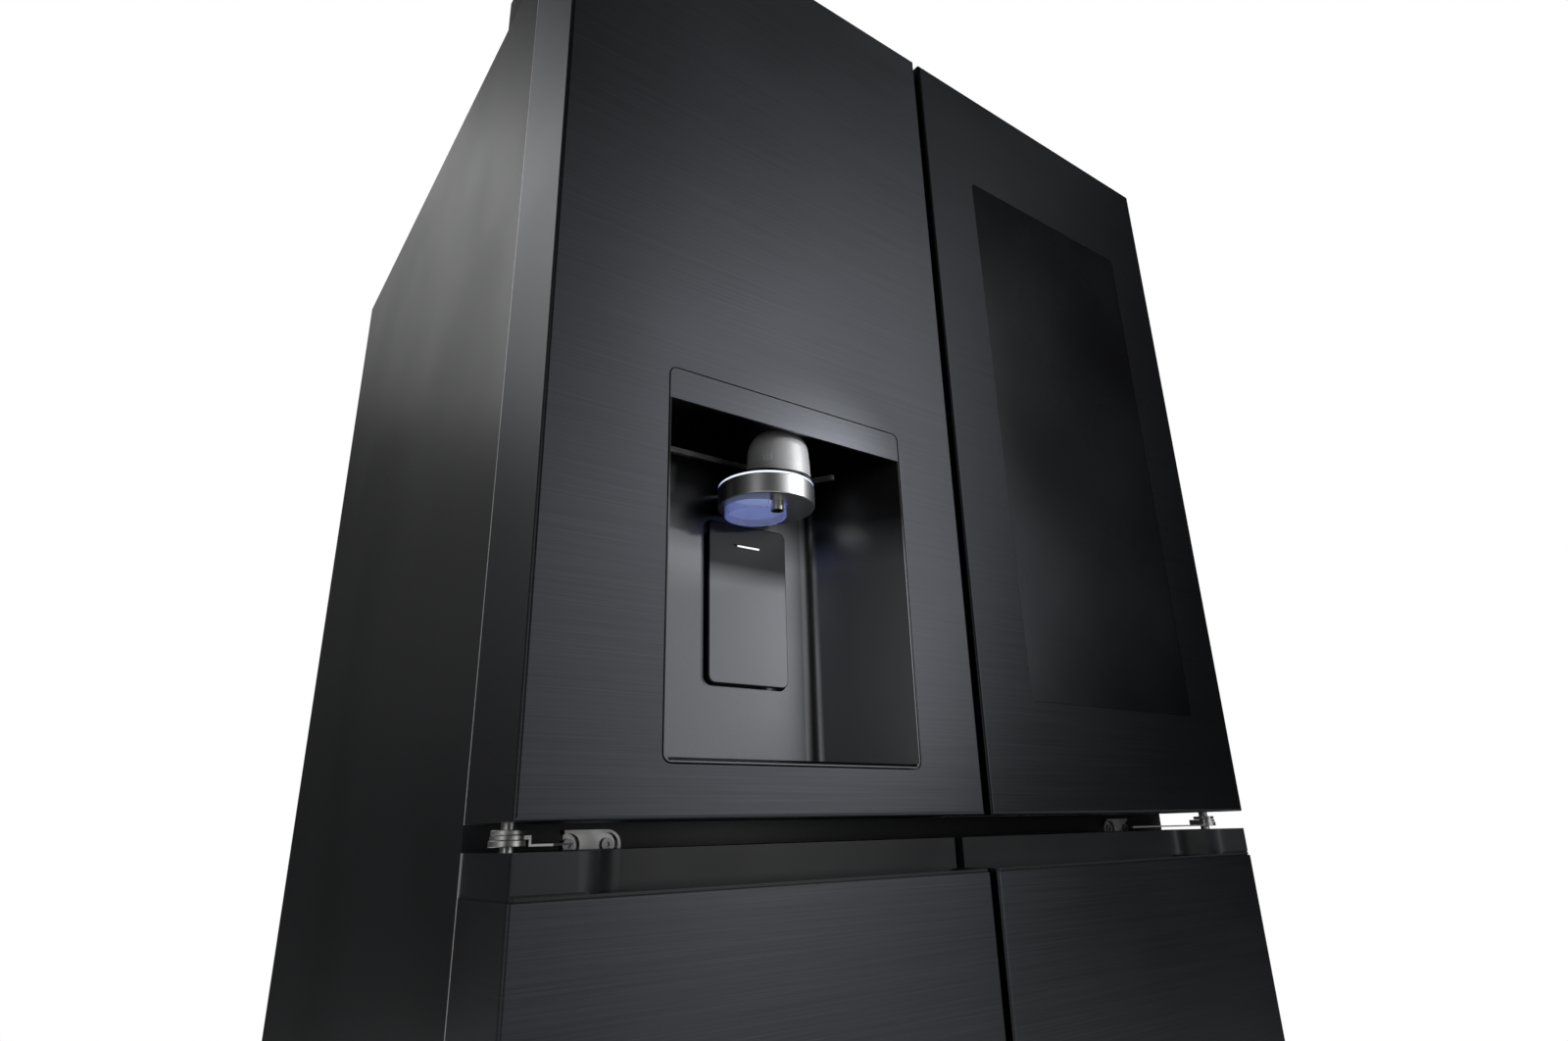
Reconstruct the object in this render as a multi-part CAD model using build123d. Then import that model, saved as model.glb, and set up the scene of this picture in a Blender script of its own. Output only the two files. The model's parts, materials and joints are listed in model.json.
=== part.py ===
from build123d import *
import os

# Four-door french door refrigerator: two tall upper doors over two lower doors.
# The frame: X across the front, Y from the front (-) to the back (+), Z up from the floor.
# Depths named "d" are measured backwards from the front face of the doors.

os.makedirs("parts", exist_ok=True)

# Overall sizes
WIDTH = 912.0
DEPTH = 918.0
HEIGHT = 1790.0

# Door layout
DOOR_THICK = 105.0
DOOR_TO_CASE = 7.0
CENTRE_GAP = 9.0
COVER_RISE = 12.0
UPPER_DOOR_BOTTOM = 860.0
LOWER_CAP_TOP = 840.3
LOWER_SKIN_TOP = 809.8
LOWER_DOOR_BOTTOM = 62.0
SHEET = 1.0
EDGE_RADIUS = 3.0
LINER = 2.0
FOAM_EDGE_RADIUS = 4.0

# Cabinet
CASE_INSET = 2.0
CASE_TOP_DROP = 44.0
CASE_BOTTOM = 60.0
SIDE_FOAM = 42.0
TOP_FOAM = 47.0
BACK_FOAM = 59.0
FLOOR_FOAM = 58.0
DIVIDER_BOTTOM = 798.0
DIVIDER_TOP = 882.0
PARTITION = 50.0
RAIL_THICK = 2.0
RAIL_LAP = 2.0

# Machine space at the bottom rear
MACHINE_DEPTH = 227.0
MACHINE_TOP = 300.0
STEP_FOAM = 50.0

# Hinges
HINGE_INSET = 13.0
HINGE_DEPTH = 45.0
PIN_RADIUS = 6.0
MIDDLE_PIN_RADIUS = 5.0
RUNNING_FIT = 0.05
PIN_REACH = 30.0
PLATE = 4.0
PLATE_WIDTH = 49.0
PLATE_FROM_HINGE = 68.0
PLATE_RECESS_RADIUS = 9.0
ARM_THICK = 1.6
TAB_THICK = 2.6
TAB_RADIUS = 12.0
LOW_NUT_RADIUS = 12.8
HIGH_NUT_RADIUS = 11.6
BRACKET_SHEET = 3.0
BRACKET_REACH = 90.0
BRACKET_OUTSIDE = 8.5
BRACKET_INSIDE = 60.0
SCREW_HOLE = 3.2
SHANK_RADIUS = 2.9
COVER_WALL = 1.5
COVER_INSIDE = 72.0
COVER_BACK = 104.0
COVER_FRONT = 26.0

# Dispenser in the upper left door
DISPENSER_WIDTH = 264.6
DISPENSER_HEIGHT = 332.7
DISPENSER_FROM_CENTRE = 82.8
DISPENSER_FROM_BOTTOM = 38.9
DISPENSER_CORNER = 8.0
FASCIA_HEIGHT = 30.0
FASCIA_THICK = 3.0
RIM = 1.2
RECESS_FLOOR = 4.0
RECESS_ROOF = 4.0
SEAM = 1.4
RECESS_DEPTH = 86.0
RECESS_LEFT_HALF = 98.0
RECESS_RIGHT_HALF = 77.0
RECESS_FILLET = 18.0
HOUSING_DEPTH = 100.5
PADDLE_WIDTH = 88.4
PADDLE_HEIGHT = 154.5
PADDLE_THICK = 4.0
PADDLE_PROUD = 6.0
PADDLE_CORNER = 7.0
PADDLE_GAP = 2.0
PADDLE_ABOVE_FLOOR = 72.6
PADDLE_SWING = 12.0
DRIP_THICK = 2.6
DRIP_MARGIN = 2.0
DRIP_FRONT = 6.0
DRIP_SLOTS = 9
TRUNNION_RADIUS = 2.5
FINGER_SLOT = (-17.5, 8.5)
FINGER_SLOT_DEEP = 1.5
FINGER_SLOT_DROP = 9.0
FINGER_SLOT_HEIGHT = 2.5
NOZZLE_RADIUS = 46.2
NOZZLE_THICK = 19.4
NOZZLE_DEPTH = 48.0
NOZZLE_UNDER_FASCIA = 62.1
HALO_THICK = 1.8
SHELF_THICK = 3.0
DOME_RADIUS = 31.2
DOME_TOP_RADIUS = 28.0
DOME_ROUND = 26.0
DOME_UNDER_ROOF = 9.0
DOME_OFFSET = (7.2, -11.0)
CHUTE_RADIUS = 29.4
CHUTE_WALL = 2.6
CHUTE_DROP = 7.0
CHUTE_OFFSET = (-8.0, 6.5)
SPOUT_RADIUS = 6.0
SPOUT_BORE = 3.5
SPOUT_DROP = 8.4
SPOUT_OFFSET = (-2.0, -20.4)

# Window of the upper right outer door
WINDOW_LEFT_MARGIN = 78.0
WINDOW_BOTTOM_MARGIN = 110.5
WINDOW_TOP_MARGIN = 150.0
WINDOW_RADIUS = 6.0
GLASS_THICK = 4.0
INNER_PANE_INSET = 12.0
OUTER_DOOR_THICK = 60.0
DOOR_SPLIT = 6.0
INNER_BORDER = 65.0
INNER_END_BORDER = 45.0
LUG_THICK = 6.0
LUG_RADIUS = 12.5
LUG_CLEARANCE = 3.5

# Lower door pull pocket
POCKET_DEPTH = 42.0
POCKET_LIP = 6.0
LIP_STRIP = 2.0
LIP_GROOVE = 1.0
CAP_GROOVE = 1.6
BASIN_DEPTH = 24.0
CAP_UNDER = 40.0
FLUSH_END = 48.0
S_CURVE_RUN = 50.0
CAP_END_WALL = 5.0

# Seals
SEAL_WIDTH = 16.0
SEAL_CLEARANCE = 0.4

# Folding centre flap
FLAP_WIDTH = 88.0
FLAP_THICK = 16.0
FLAP_PIVOT_X = 40.0
FLAP_PIN_RADIUS = 3.0
FLAP_LUG = 8.5

# Fittings inside
SHELF_COUNT = 4
SHELF_GLASS = 4.0
SHELF_SIDE_GAP = 3.0
LEDGE = 9.0
CRISPER_HEIGHT = 160.0
DUCT_SPACE = 26.0
DUCT_HALF = 150.0
VENT_WIDTH = 80.0
VENT_HEIGHT = 15.0
EVAPORATOR_SPACE = 56.0
FIN_PITCH = 16.0
TRAY_WALL = 3.0
STORE_GAP = 20.0
BIN_DEPTH = 73.0
BIN_HEIGHT = 90.0
BULGE_THICK = 47.0
BULGE_SIDE = 59.0
LOWER_BULGE_THICK = 36.0
BULGE_CENTRE = 75.0

# Base
FRAME_HEIGHT = 30.0
BEAM_SETBACK = 8.0
BEAM_DEPTH = 30.0
BEAM_DROP = 10.0
FRAME_SIDE_GAP = 4.0
FRAME_SIDE_WIDTH = 70.0
FRAME_WALL = 3.0
LEG_X_INSET = 56.0
LEG_RADIUS = 6.0
PAD_RADIUS = 20.0
ROLLER_RADIUS = 20.0
ROLLER_WIDTH = 16.0
AXLE_RADIUS = 5.0
ROLLER_FROM_BACK = 46.0
EAR_THICK = 4.0
KICK_SLOTS = 12
KICK_THICK = 3.0

# Machine
COMPRESSOR_X = 240.0
COMPRESSOR_RADIUS = 72.0
COMPRESSOR_HEIGHT = 160.0
CONDENSER_LEFT = -250.0
CONDENSER_RIGHT = 40.0
CONDENSER_DEPTH = 90.0
CONDENSER_HEIGHT = 150.0
CONDENSER_FINS = 14
FIN_THICK = 1.5
TUBE_RADIUS = 4.0
FAN_RADIUS = 40.0
FAN_CLEARANCE = 3.0
MOTOR_RADIUS = 18.0
MOTOR_LENGTH = 26.0
FAN_SHAFT_RADIUS = 3.0
VALVE_X = -330.0
INLET_RADIUS = 5.5
GLAND_X = 340.0
GLAND_BORE = 5.0
GLAND_RADIUS = 9.5
VENT_COLUMNS = 4
VENT_ROWS = 6

# Derived places
FRONT = -DEPTH / 2
HALF = WIDTH / 2
DOOR_EDGE = CENTRE_GAP / 2
DOOR_TOP = HEIGHT - COVER_RISE
CASE_HALF = HALF - CASE_INSET
CASE_TOP = HEIGHT - CASE_TOP_DROP
CASE_FRONT = DOOR_THICK + DOOR_TO_CASE
CASE_BACK = DEPTH - SHEET
FOAM_HALF = CASE_HALF - SHEET
CAVITY_HALF = FOAM_HALF - SIDE_FOAM
CAVITY_TOP = CASE_TOP - SHEET - TOP_FOAM
CAVITY_BACK = CASE_BACK - BACK_FOAM
CAVITY_BOTTOM = CASE_BOTTOM + FLOOR_FOAM
LINER_FRONT = CASE_FRONT + RAIL_THICK
MACHINE_FRONT = CASE_BACK - MACHINE_DEPTH
STEP_FRONT = MACHINE_FRONT - STEP_FOAM
STEP_TOP = MACHINE_TOP + STEP_FOAM
HINGE_X = HALF - HINGE_INSET
PLATE_BACK = DOOR_THICK - LINER
BULGE_BACK = DOOR_THICK + BULGE_THICK
STORE_FRONT = BULGE_BACK + BIN_DEPTH + STORE_GAP


def block(x0, x1, d0, d1, z0, z1):
    """A box between two X values, two depths and two heights."""
    centre = Pos((x0 + x1) / 2, FRONT + (d0 + d1) / 2, (z0 + z1) / 2)
    return centre * Box(x1 - x0, d1 - d0, z1 - z0)


def upright(x, d, z0, z1, radius):
    """A vertical cylinder."""
    return Pos(x, FRONT + d, (z0 + z1) / 2) * Cylinder(radius, z1 - z0)


def across(x0, x1, d, z, radius):
    """A cylinder along X."""
    return Pos((x0 + x1) / 2, FRONT + d, z) * Rot(0, 90, 0) * Cylinder(radius, x1 - x0)


def deep(x, d0, d1, z, radius):
    """A cylinder along Y."""
    return Pos(x, FRONT + (d0 + d1) / 2, z) * Rot(90, 0, 0) * Cylinder(radius, d1 - d0)


def plan_prism(points, z0, z1):
    """A prism over an outline of (x, d) points."""
    outline = Polyline(*[(x, FRONT + d) for x, d in points], close=True)
    return Pos(0, 0, z0) * extrude(make_face(outline), amount=z1 - z0)


def rounded(shape, axis, radius):
    """The shape with its edges along one axis rounded."""
    return fillet(shape.edges().filter_by(axis), radius)


def soften_front(shape, radius):
    """The shape with the edges of its front face rounded."""
    return fillet(shape.faces().sort_by(Axis.Y)[0].edges(), radius)


def mirrored(shape):
    """The same piece on the other side of the centre plane."""
    return mirror(shape, about=Plane.YZ)


def group(shapes):
    """Separate solids kept in one node."""
    return Compound([solid for shape in shapes for solid in shape.solids()])


def pair(shape):
    """A left piece and its mirror image."""
    return group([shape, mirrored(shape)])


def tray(x0, x1, d0, d1, z0, z1):
    """An open-topped box."""
    wall = TRAY_WALL
    hollow = block(x0 + wall, x1 - wall, d0 + wall, d1 - wall, z0 + wall, z1 + wall)
    return block(x0, x1, d0, d1, z0, z1) - hollow


def door_pan(x0, x1, depth, z0, z1):
    """A door's folded sheet: front face and four sides, open at the back."""
    outer = soften_front(block(x0, x1, 0, depth, z0, z1), EDGE_RADIUS)
    hollow = block(x0 + SHEET, x1 - SHEET, SHEET, depth + 1, z0 + SHEET, z1 - SHEET)
    return outer - soften_front(hollow, EDGE_RADIUS - SHEET)


def door_core(x0, x1, depth, z0, z1):
    """The foam that fills a door pan."""
    core = block(x0 + SHEET, x1 - SHEET, SHEET, depth, z0 + SHEET, z1 - SHEET)
    return soften_front(core, FOAM_EDGE_RADIUS)


def hinge_bore(z0, z1, radius):
    """The hole for the left hinge pin between two heights."""
    return upright(-HINGE_X, HINGE_DEPTH, z0, z1, radius)


parts = {}

# ---- Cabinet shell -------------------------------------------------------------------
case_outer = block(-CASE_HALF, CASE_HALF, CASE_FRONT, CASE_BACK, CASE_BOTTOM, CASE_TOP)
case_hollow = block(
    -FOAM_HALF, FOAM_HALF, CASE_FRONT + SHEET, CASE_BACK + 1, CASE_BOTTOM - 1, CASE_TOP - SHEET
)
case_mouth = block(
    -CAVITY_HALF, CAVITY_HALF, CASE_FRONT - 1, CASE_FRONT + SHEET + 1, CASE_BOTTOM - 1, CAVITY_TOP
)
parts["outer_case"] = case_outer - case_hollow - case_mouth
parts["rear_panel"] = block(-CASE_HALF, CASE_HALF, CASE_BACK, DEPTH, MACHINE_TOP, CASE_TOP)

foam_front = CASE_FRONT + SHEET
side_foam = block(-FOAM_HALF, -CAVITY_HALF, foam_front, CASE_BACK, CASE_BOTTOM, CASE_TOP - SHEET)
parts["cabinet_foam"] = group([
    side_foam,
    mirrored(side_foam),
    block(-CAVITY_HALF, CAVITY_HALF, foam_front, CASE_BACK, CAVITY_TOP, CASE_TOP - SHEET),
    block(-CAVITY_HALF, CAVITY_HALF, CAVITY_BACK, CASE_BACK, STEP_TOP, CAVITY_TOP),
    block(-CAVITY_HALF, CAVITY_HALF, LINER_FRONT, CAVITY_BACK, DIVIDER_BOTTOM, DIVIDER_TOP),
    block(-CAVITY_HALF, CAVITY_HALF, LINER_FRONT, STEP_FRONT, CASE_BOTTOM, CAVITY_BOTTOM),
    block(-CAVITY_HALF, CAVITY_HALF, STEP_FRONT, MACHINE_FRONT, CASE_BOTTOM, STEP_TOP),
    block(-CAVITY_HALF, CAVITY_HALF, MACHINE_FRONT, CASE_BACK, MACHINE_TOP, STEP_TOP),
    block(-PARTITION / 2, PARTITION / 2, LINER_FRONT, STEP_FRONT, CAVITY_BOTTOM, STEP_TOP),
    block(-PARTITION / 2, PARTITION / 2, LINER_FRONT, CAVITY_BACK, STEP_TOP, DIVIDER_BOTTOM),
])

# Steel strips across the front of the divider, the partition and the floor
rail_bottom = DIVIDER_BOTTOM - RAIL_LAP
rail_top = DIVIDER_TOP + RAIL_LAP
sill_top = CAVITY_BOTTOM + RAIL_LAP
rail = block(-CAVITY_HALF, CAVITY_HALF, CASE_FRONT, LINER_FRONT, rail_bottom, rail_top)
rail_post = block(
    -PARTITION / 2 - RAIL_LAP, PARTITION / 2 + RAIL_LAP, CASE_FRONT, LINER_FRONT, sill_top, rail_bottom
)
rail_sill = block(-CAVITY_HALF, CAVITY_HALF, CASE_FRONT, LINER_FRONT, CASE_BOTTOM, sill_top)

# ---- Liners and what they hold -------------------------------------------------------
FRIDGE_FLOOR = DIVIDER_TOP + LINER
FRIDGE_HALF = CAVITY_HALF - LINER
FRIDGE_BACK = CAVITY_BACK - LINER
FRIDGE_CEILING = CAVITY_TOP - LINER
STORE_BACK = FRIDGE_BACK - DUCT_SPACE
shelf_base = FRIDGE_FLOOR + CRISPER_HEIGHT + 2 * LEDGE
shelf_pitch = (FRIDGE_CEILING - shelf_base) / SHELF_COUNT
shelf_levels = [shelf_base + index * shelf_pitch for index in range(SHELF_COUNT)]
fridge_liner = block(-CAVITY_HALF, CAVITY_HALF, LINER_FRONT, CAVITY_BACK, DIVIDER_TOP, CAVITY_TOP)
fridge_liner -= block(
    -FRIDGE_HALF, FRIDGE_HALF, LINER_FRONT - 1, FRIDGE_BACK, FRIDGE_FLOOR, FRIDGE_CEILING
)
for level in shelf_levels:
    ledge = block(-FRIDGE_HALF - 1, -FRIDGE_HALF + LEDGE, STORE_FRONT, STORE_BACK, level - LEDGE, level)
    fridge_liner = fridge_liner + ledge + mirrored(ledge)
parts["fridge_liner"] = fridge_liner
shelf_half = FRIDGE_HALF - SHELF_SIDE_GAP
parts["glass_shelves"] = group([
    block(-shelf_half, shelf_half, STORE_FRONT, STORE_BACK, level, level + SHELF_GLASS)
    for level in shelf_levels
])
crisper = tray(
    -shelf_half, -8.0, STORE_FRONT, STORE_BACK - 20.0, FRIDGE_FLOOR, FRIDGE_FLOOR + CRISPER_HEIGHT
)
parts["crisper_drawers"] = pair(crisper)

FREEZER_LEFT = -CAVITY_HALF
FREEZER_RIGHT = -PARTITION / 2
freezer_liner = block(
    FREEZER_LEFT, FREEZER_RIGHT, LINER_FRONT, STEP_FRONT, CAVITY_BOTTOM, DIVIDER_BOTTOM
)
freezer_liner += block(
    FREEZER_LEFT, FREEZER_RIGHT, STEP_FRONT - 1, CAVITY_BACK, STEP_TOP, DIVIDER_BOTTOM
)
freezer_in_left = FREEZER_LEFT + LINER
freezer_in_right = FREEZER_RIGHT - LINER
freezer_floor = CAVITY_BOTTOM + LINER
freezer_ceiling = DIVIDER_BOTTOM - LINER
step_in_top = STEP_TOP + LINER
freezer_liner -= block(
    freezer_in_left, freezer_in_right, LINER_FRONT - 1, STEP_FRONT - LINER, freezer_floor, freezer_ceiling
)
freezer_liner -= block(
    freezer_in_left, freezer_in_right, LINER_FRONT - 1, FRIDGE_BACK, step_in_top, freezer_ceiling
)
ledge_reach = LEDGE + 1.0
drawer_gap = 5.0
drawer_left = freezer_in_left + drawer_gap
drawer_right = freezer_in_right - drawer_gap
middle_level = step_in_top + LEDGE + 3.0
drawer_pitch = (freezer_ceiling - middle_level) / 2
drawer_front = STORE_FRONT - 40.0
evaporator_front = FRIDGE_BACK - EVAPORATOR_SPACE
drawer_back = evaporator_front - 20.0
low_drawer_back = STEP_FRONT - 20.0
low_drawer_top = step_in_top - 30.0
freezer_drawers = [
    tray(drawer_left, drawer_right, drawer_front, low_drawer_back, freezer_floor, low_drawer_top)
]
for index in range(2):
    level = middle_level + index * drawer_pitch
    ledge_low = level - LEDGE
    left_end = freezer_in_left + ledge_reach
    right_end = freezer_in_right - ledge_reach
    freezer_liner += block(freezer_in_left - 1, left_end, drawer_front, drawer_back, ledge_low, level)
    freezer_liner += block(right_end, freezer_in_right + 1, drawer_front, drawer_back, ledge_low, level)
    drawer_top = level + drawer_pitch - LEDGE - 12.0
    freezer_drawers.append(tray(drawer_left, drawer_right, drawer_front, drawer_back, level, drawer_top))
parts["freezer_liners"] = pair(freezer_liner)
parts["freezer_drawers"] = pair(group(freezer_drawers))

# Finned evaporators behind the freezer's rear air panels
coil_left = freezer_in_left + 30
coil_right = freezer_in_right - 30
coil_front = evaporator_front + 8
coil_back = FRIDGE_BACK - 6
fin_back = evaporator_front + 34
evaporator = block(coil_left, coil_right, coil_front, coil_back, step_in_top + 20, freezer_ceiling - 120)
fin_count = int((coil_right - coil_left - FIN_PITCH) / FIN_PITCH)
for index in range(fin_count):
    slot_x = coil_left + FIN_PITCH - 2 + index * FIN_PITCH
    slot_end = slot_x + FIN_PITCH - 3
    evaporator -= block(slot_x, slot_end, evaporator_front, fin_back, step_in_top, freezer_ceiling)
foot_bottom = step_in_top + 60
evaporator += block(
    coil_left + 30, coil_right - 30, fin_back + 6, FRIDGE_BACK, foot_bottom, foot_bottom + 30
)
parts["evaporators"] = pair(evaporator)

# Air ducts: one up the refrigerator's back, and the freezer's rear panels
duct_front = STORE_BACK + 4
fridge_duct = block(-DUCT_HALF, DUCT_HALF, duct_front, FRIDGE_BACK, FRIDGE_FLOOR, FRIDGE_CEILING)
vent_half = VENT_WIDTH / 2
for level in shelf_levels:
    for side in (-1, 1):
        vent_x = side * DUCT_HALF / 2
        vent_z = level + 60
        vent_top = vent_z + VENT_HEIGHT
        fridge_duct -= block(
            vent_x - vent_half, vent_x + vent_half, STORE_BACK, duct_front + 10, vent_z, vent_top
        )
panel_front = evaporator_front - 3
freezer_panel = block(
    freezer_in_left, freezer_in_right, panel_front, evaporator_front, step_in_top, freezer_ceiling
)
for row in range(3):
    slot_top = freezer_ceiling - 40 - row * 24
    freezer_panel -= block(
        coil_left + 50, coil_right - 50, panel_front - 1, evaporator_front + 1, slot_top - 8, slot_top
    )
parts["air_duct"] = group([fridge_duct, freezer_panel, mirrored(freezer_panel)])

# ---- Base ----------------------------------------------------------------------------
RAIL_OUT = CASE_HALF - FRAME_SIDE_GAP
RAIL_IN = RAIL_OUT - FRAME_SIDE_WIDTH
BEAM_FRONT = CASE_FRONT + BEAM_SETBACK
BEAM_BACK = BEAM_FRONT + BEAM_DEPTH
LEG_DEPTH = (BEAM_FRONT + BEAM_BACK) / 2
frame_bottom = CASE_BOTTOM - FRAME_HEIGHT
rear_beam_front = DEPTH - 88.0
rear_beam_back = rear_beam_front + 20.0
tray_bottom = CASE_BOTTOM - FRAME_WALL
cover_clear = 13.0
machine_back = DEPTH - cover_clear
leg_x = CASE_HALF - LEG_X_INSET
beam_bottom = frame_bottom - BEAM_DROP
front_beam = block(-RAIL_OUT, RAIL_OUT, BEAM_FRONT, BEAM_BACK, beam_bottom, CASE_BOTTOM)
leg_bore = LEG_RADIUS + RUNNING_FIT
for side in (-1, 1):
    front_beam -= upright(side * leg_x, LEG_DEPTH, beam_bottom - 1, CASE_BOTTOM + 1, leg_bore)
side_rail = block(-RAIL_OUT, -RAIL_IN, BEAM_BACK, rear_beam_front, frame_bottom, CASE_BOTTOM)
side_rail -= block(
    -RAIL_OUT + FRAME_WALL, -RAIL_IN - FRAME_WALL, BEAM_BACK - 1, rear_beam_front + 1,
    frame_bottom - 1, CASE_BOTTOM - FRAME_WALL
)
rear_beam = block(-RAIL_OUT, RAIL_OUT, rear_beam_front, rear_beam_back, frame_bottom, tray_bottom)
machine_tray = block(-RAIL_IN, RAIL_IN, MACHINE_FRONT, machine_back, tray_bottom, CASE_BOTTOM)
roller_d = DEPTH - ROLLER_FROM_BACK
ear_gap = ROLLER_WIDTH / 2 + 2.0
ear_back = roller_d + 12
ear_bottom = ROLLER_RADIUS - 9
axle_bore = AXLE_RADIUS + RUNNING_FIT
ears = []
for offset in (-ear_gap - EAR_THICK, ear_gap):
    ear_x = -leg_x + offset
    ear_end = ear_x + EAR_THICK
    ear = block(ear_x, ear_end, rear_beam_back, ear_back, ear_bottom, CASE_BOTTOM)
    ears.append(ear - across(ear_x - 1, ear_end + 1, roller_d, ROLLER_RADIUS, axle_bore))
frame_side = [side_rail] + ears
parts["base_frame"] = group(
    [front_beam, rear_beam, machine_tray] + frame_side + [mirrored(piece) for piece in frame_side]
)
pad_height = 8.0
leg = upright(-leg_x, LEG_DEPTH, 0, pad_height, PAD_RADIUS)
leg = fillet(leg.edges().sort_by(Axis.Z)[-1], 2.0)
leg += upright(-leg_x, LEG_DEPTH, pad_height - 1, CASE_BOTTOM - 4, LEG_RADIUS)
parts["levelling_legs"] = pair(leg)
tyre_left = -leg_x - ROLLER_WIDTH / 2
tyre = across(tyre_left, tyre_left + ROLLER_WIDTH, roller_d, ROLLER_RADIUS, ROLLER_RADIUS)
tyre = fillet(tyre.edges().filter_by(GeomType.CIRCLE), 2.0)
axle_half = ear_gap + EAR_THICK + 2.0
roller = tyre + across(-leg_x - axle_half, -leg_x + axle_half, roller_d, ROLLER_RADIUS, AXLE_RADIUS)
parts["rear_roller_left"] = roller
parts["rear_roller_right"] = mirrored(roller)
kick_half = leg_x - PAD_RADIUS - 4.0
kick_front = BEAM_FRONT - KICK_THICK
kick = block(-kick_half, kick_half, kick_front, BEAM_FRONT, 10, CASE_BOTTOM - 10)
kick_margin = 20.0
kick_pitch = 2 * (kick_half - kick_margin) / KICK_SLOTS
slot_inset = 6.0
for index in range(KICK_SLOTS):
    slot_x = -kick_half + kick_margin + index * kick_pitch
    kick -= block(
        slot_x + slot_inset, slot_x + kick_pitch - slot_inset, kick_front - 1, BEAM_FRONT + 1, 13, 17
    )
parts["kick_grille"] = kick

# ---- Machine space -------------------------------------------------------------------
compressor_d = (MACHINE_FRONT + machine_back) / 2 - 8
mount_top = CASE_BOTTOM + 17
shell_bottom = CASE_BOTTOM + 18
compressor = upright(
    COMPRESSOR_X, compressor_d, shell_bottom, shell_bottom + COMPRESSOR_HEIGHT, COMPRESSOR_RADIUS
)
compressor = fillet(compressor.edges().filter_by(GeomType.CIRCLE), 34.0)
foot_half_width = COMPRESSOR_RADIUS + 12
foot_half_depth = 50.0
compressor += block(
    COMPRESSOR_X - foot_half_width, COMPRESSOR_X + foot_half_width,
    compressor_d - foot_half_depth, compressor_d + foot_half_depth, mount_top - 1, mount_top + 4
)
for side in (-1, 1):
    for end in (-1, 1):
        mount_x = COMPRESSOR_X + side * (foot_half_width - 10)
        mount_d = compressor_d + end * (foot_half_depth - 10)
        compressor += upright(mount_x, mount_d, CASE_BOTTOM, mount_top, 9)
parts["compressor"] = compressor

# A fin and tube condenser, with a fan that draws air along it
condenser_front = MACHINE_FRONT + 14
condenser_back = condenser_front + CONDENSER_DEPTH
condenser_top = CASE_BOTTOM + CONDENSER_HEIGHT
condenser_pitch = (CONDENSER_RIGHT - CONDENSER_LEFT) / CONDENSER_FINS
tube_over = 6.0
tube_columns = (condenser_front + 25, condenser_back - 25)
tube_rows = [CASE_BOTTOM + 20 + row * 36 for row in range(4)]
condenser = group([
    across(CONDENSER_LEFT - tube_over, CONDENSER_RIGHT + tube_over, d, z, TUBE_RADIUS)
    for d in tube_columns for z in tube_rows
])
for index in range(CONDENSER_FINS + 1):
    fin_x = CONDENSER_LEFT + index * condenser_pitch
    condenser += block(
        fin_x, fin_x + FIN_THICK, condenser_front, condenser_back, CASE_BOTTOM, condenser_top
    )
parts["condenser"] = condenser

fan_d = (condenser_front + condenser_back) / 2
fan_z = CASE_BOTTOM + 80
shroud_x = CONDENSER_RIGHT + 20
shroud_end = shroud_x + 3
motor_x = shroud_x + 22
motor_end = motor_x + MOTOR_LENGTH
arm_half = 8.0
shroud = block(shroud_x, shroud_end, condenser_front, condenser_back + 20, CASE_BOTTOM, condenser_top)
shroud -= across(shroud_x - 1, shroud_end + 1, fan_d, fan_z, FAN_RADIUS + FAN_CLEARANCE)
shroud += block(
    motor_x, motor_end, condenser_front, condenser_front + 4, fan_z - arm_half, fan_z + arm_half
)
shroud += block(
    shroud_x, motor_end, condenser_front - 4, condenser_front, fan_z - arm_half, fan_z + arm_half
)
shroud += block(motor_x + 6, motor_end - 6, condenser_front, fan_d, fan_z - 5, fan_z + 5)
shroud += across(motor_x, motor_end, fan_d, fan_z, MOTOR_RADIUS)
shroud -= across(motor_x - 1, motor_x + 14, fan_d, fan_z, FAN_SHAFT_RADIUS + RUNNING_FIT)
parts["fan_motor"] = shroud

hub_end = motor_x - 4
hub_radius = 14.0
blade_span = FAN_RADIUS - hub_radius + 4
blades = 5
fan = across(shroud_x + 1, hub_end, fan_d, fan_z, hub_radius)
fan += across(hub_end - 1, motor_x + 12, fan_d, fan_z, FAN_SHAFT_RADIUS)
for index in range(blades):
    blade = Pos(0, 0, FAN_RADIUS - blade_span / 2) * Rot(0, 0, 32) * Box(1.6, 18, blade_span)
    blade = Rot(index * 360 / blades, 0, 0) * blade
    fan += Pos((shroud_x + 1 + hub_end) / 2, FRONT + fan_d, fan_z) * blade
parts["condenser_fan"] = fan

# Water inlet valve and the mains gland, both reached through the rear cover
inlet_z = CASE_BOTTOM + 40
valve_top = CASE_BOTTOM + 62
valve_back = machine_back - 1
valve = block(VALVE_X - 20, VALVE_X + 20, valve_back - 34, valve_back, CASE_BOTTOM, valve_top)
valve += deep(VALVE_X, valve_back - 1, DEPTH - 0.5, inlet_z, INLET_RADIUS)
valve += upright(VALVE_X, valve_back - 17, valve_top - 1, valve_top + 26, 12)
parts["water_valve"] = valve
gland_z = CASE_BOTTOM + 55
gland_front = DEPTH - 12
gland = deep(GLAND_X, gland_front, DEPTH, gland_z, GLAND_RADIUS)
gland += deep(GLAND_X, gland_front + 4, CASE_BACK - 0.2, gland_z, GLAND_RADIUS + 4.5)
parts["cord_gland"] = gland - deep(GLAND_X, gland_front - 1, DEPTH + 1, gland_z, GLAND_BORE)
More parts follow.
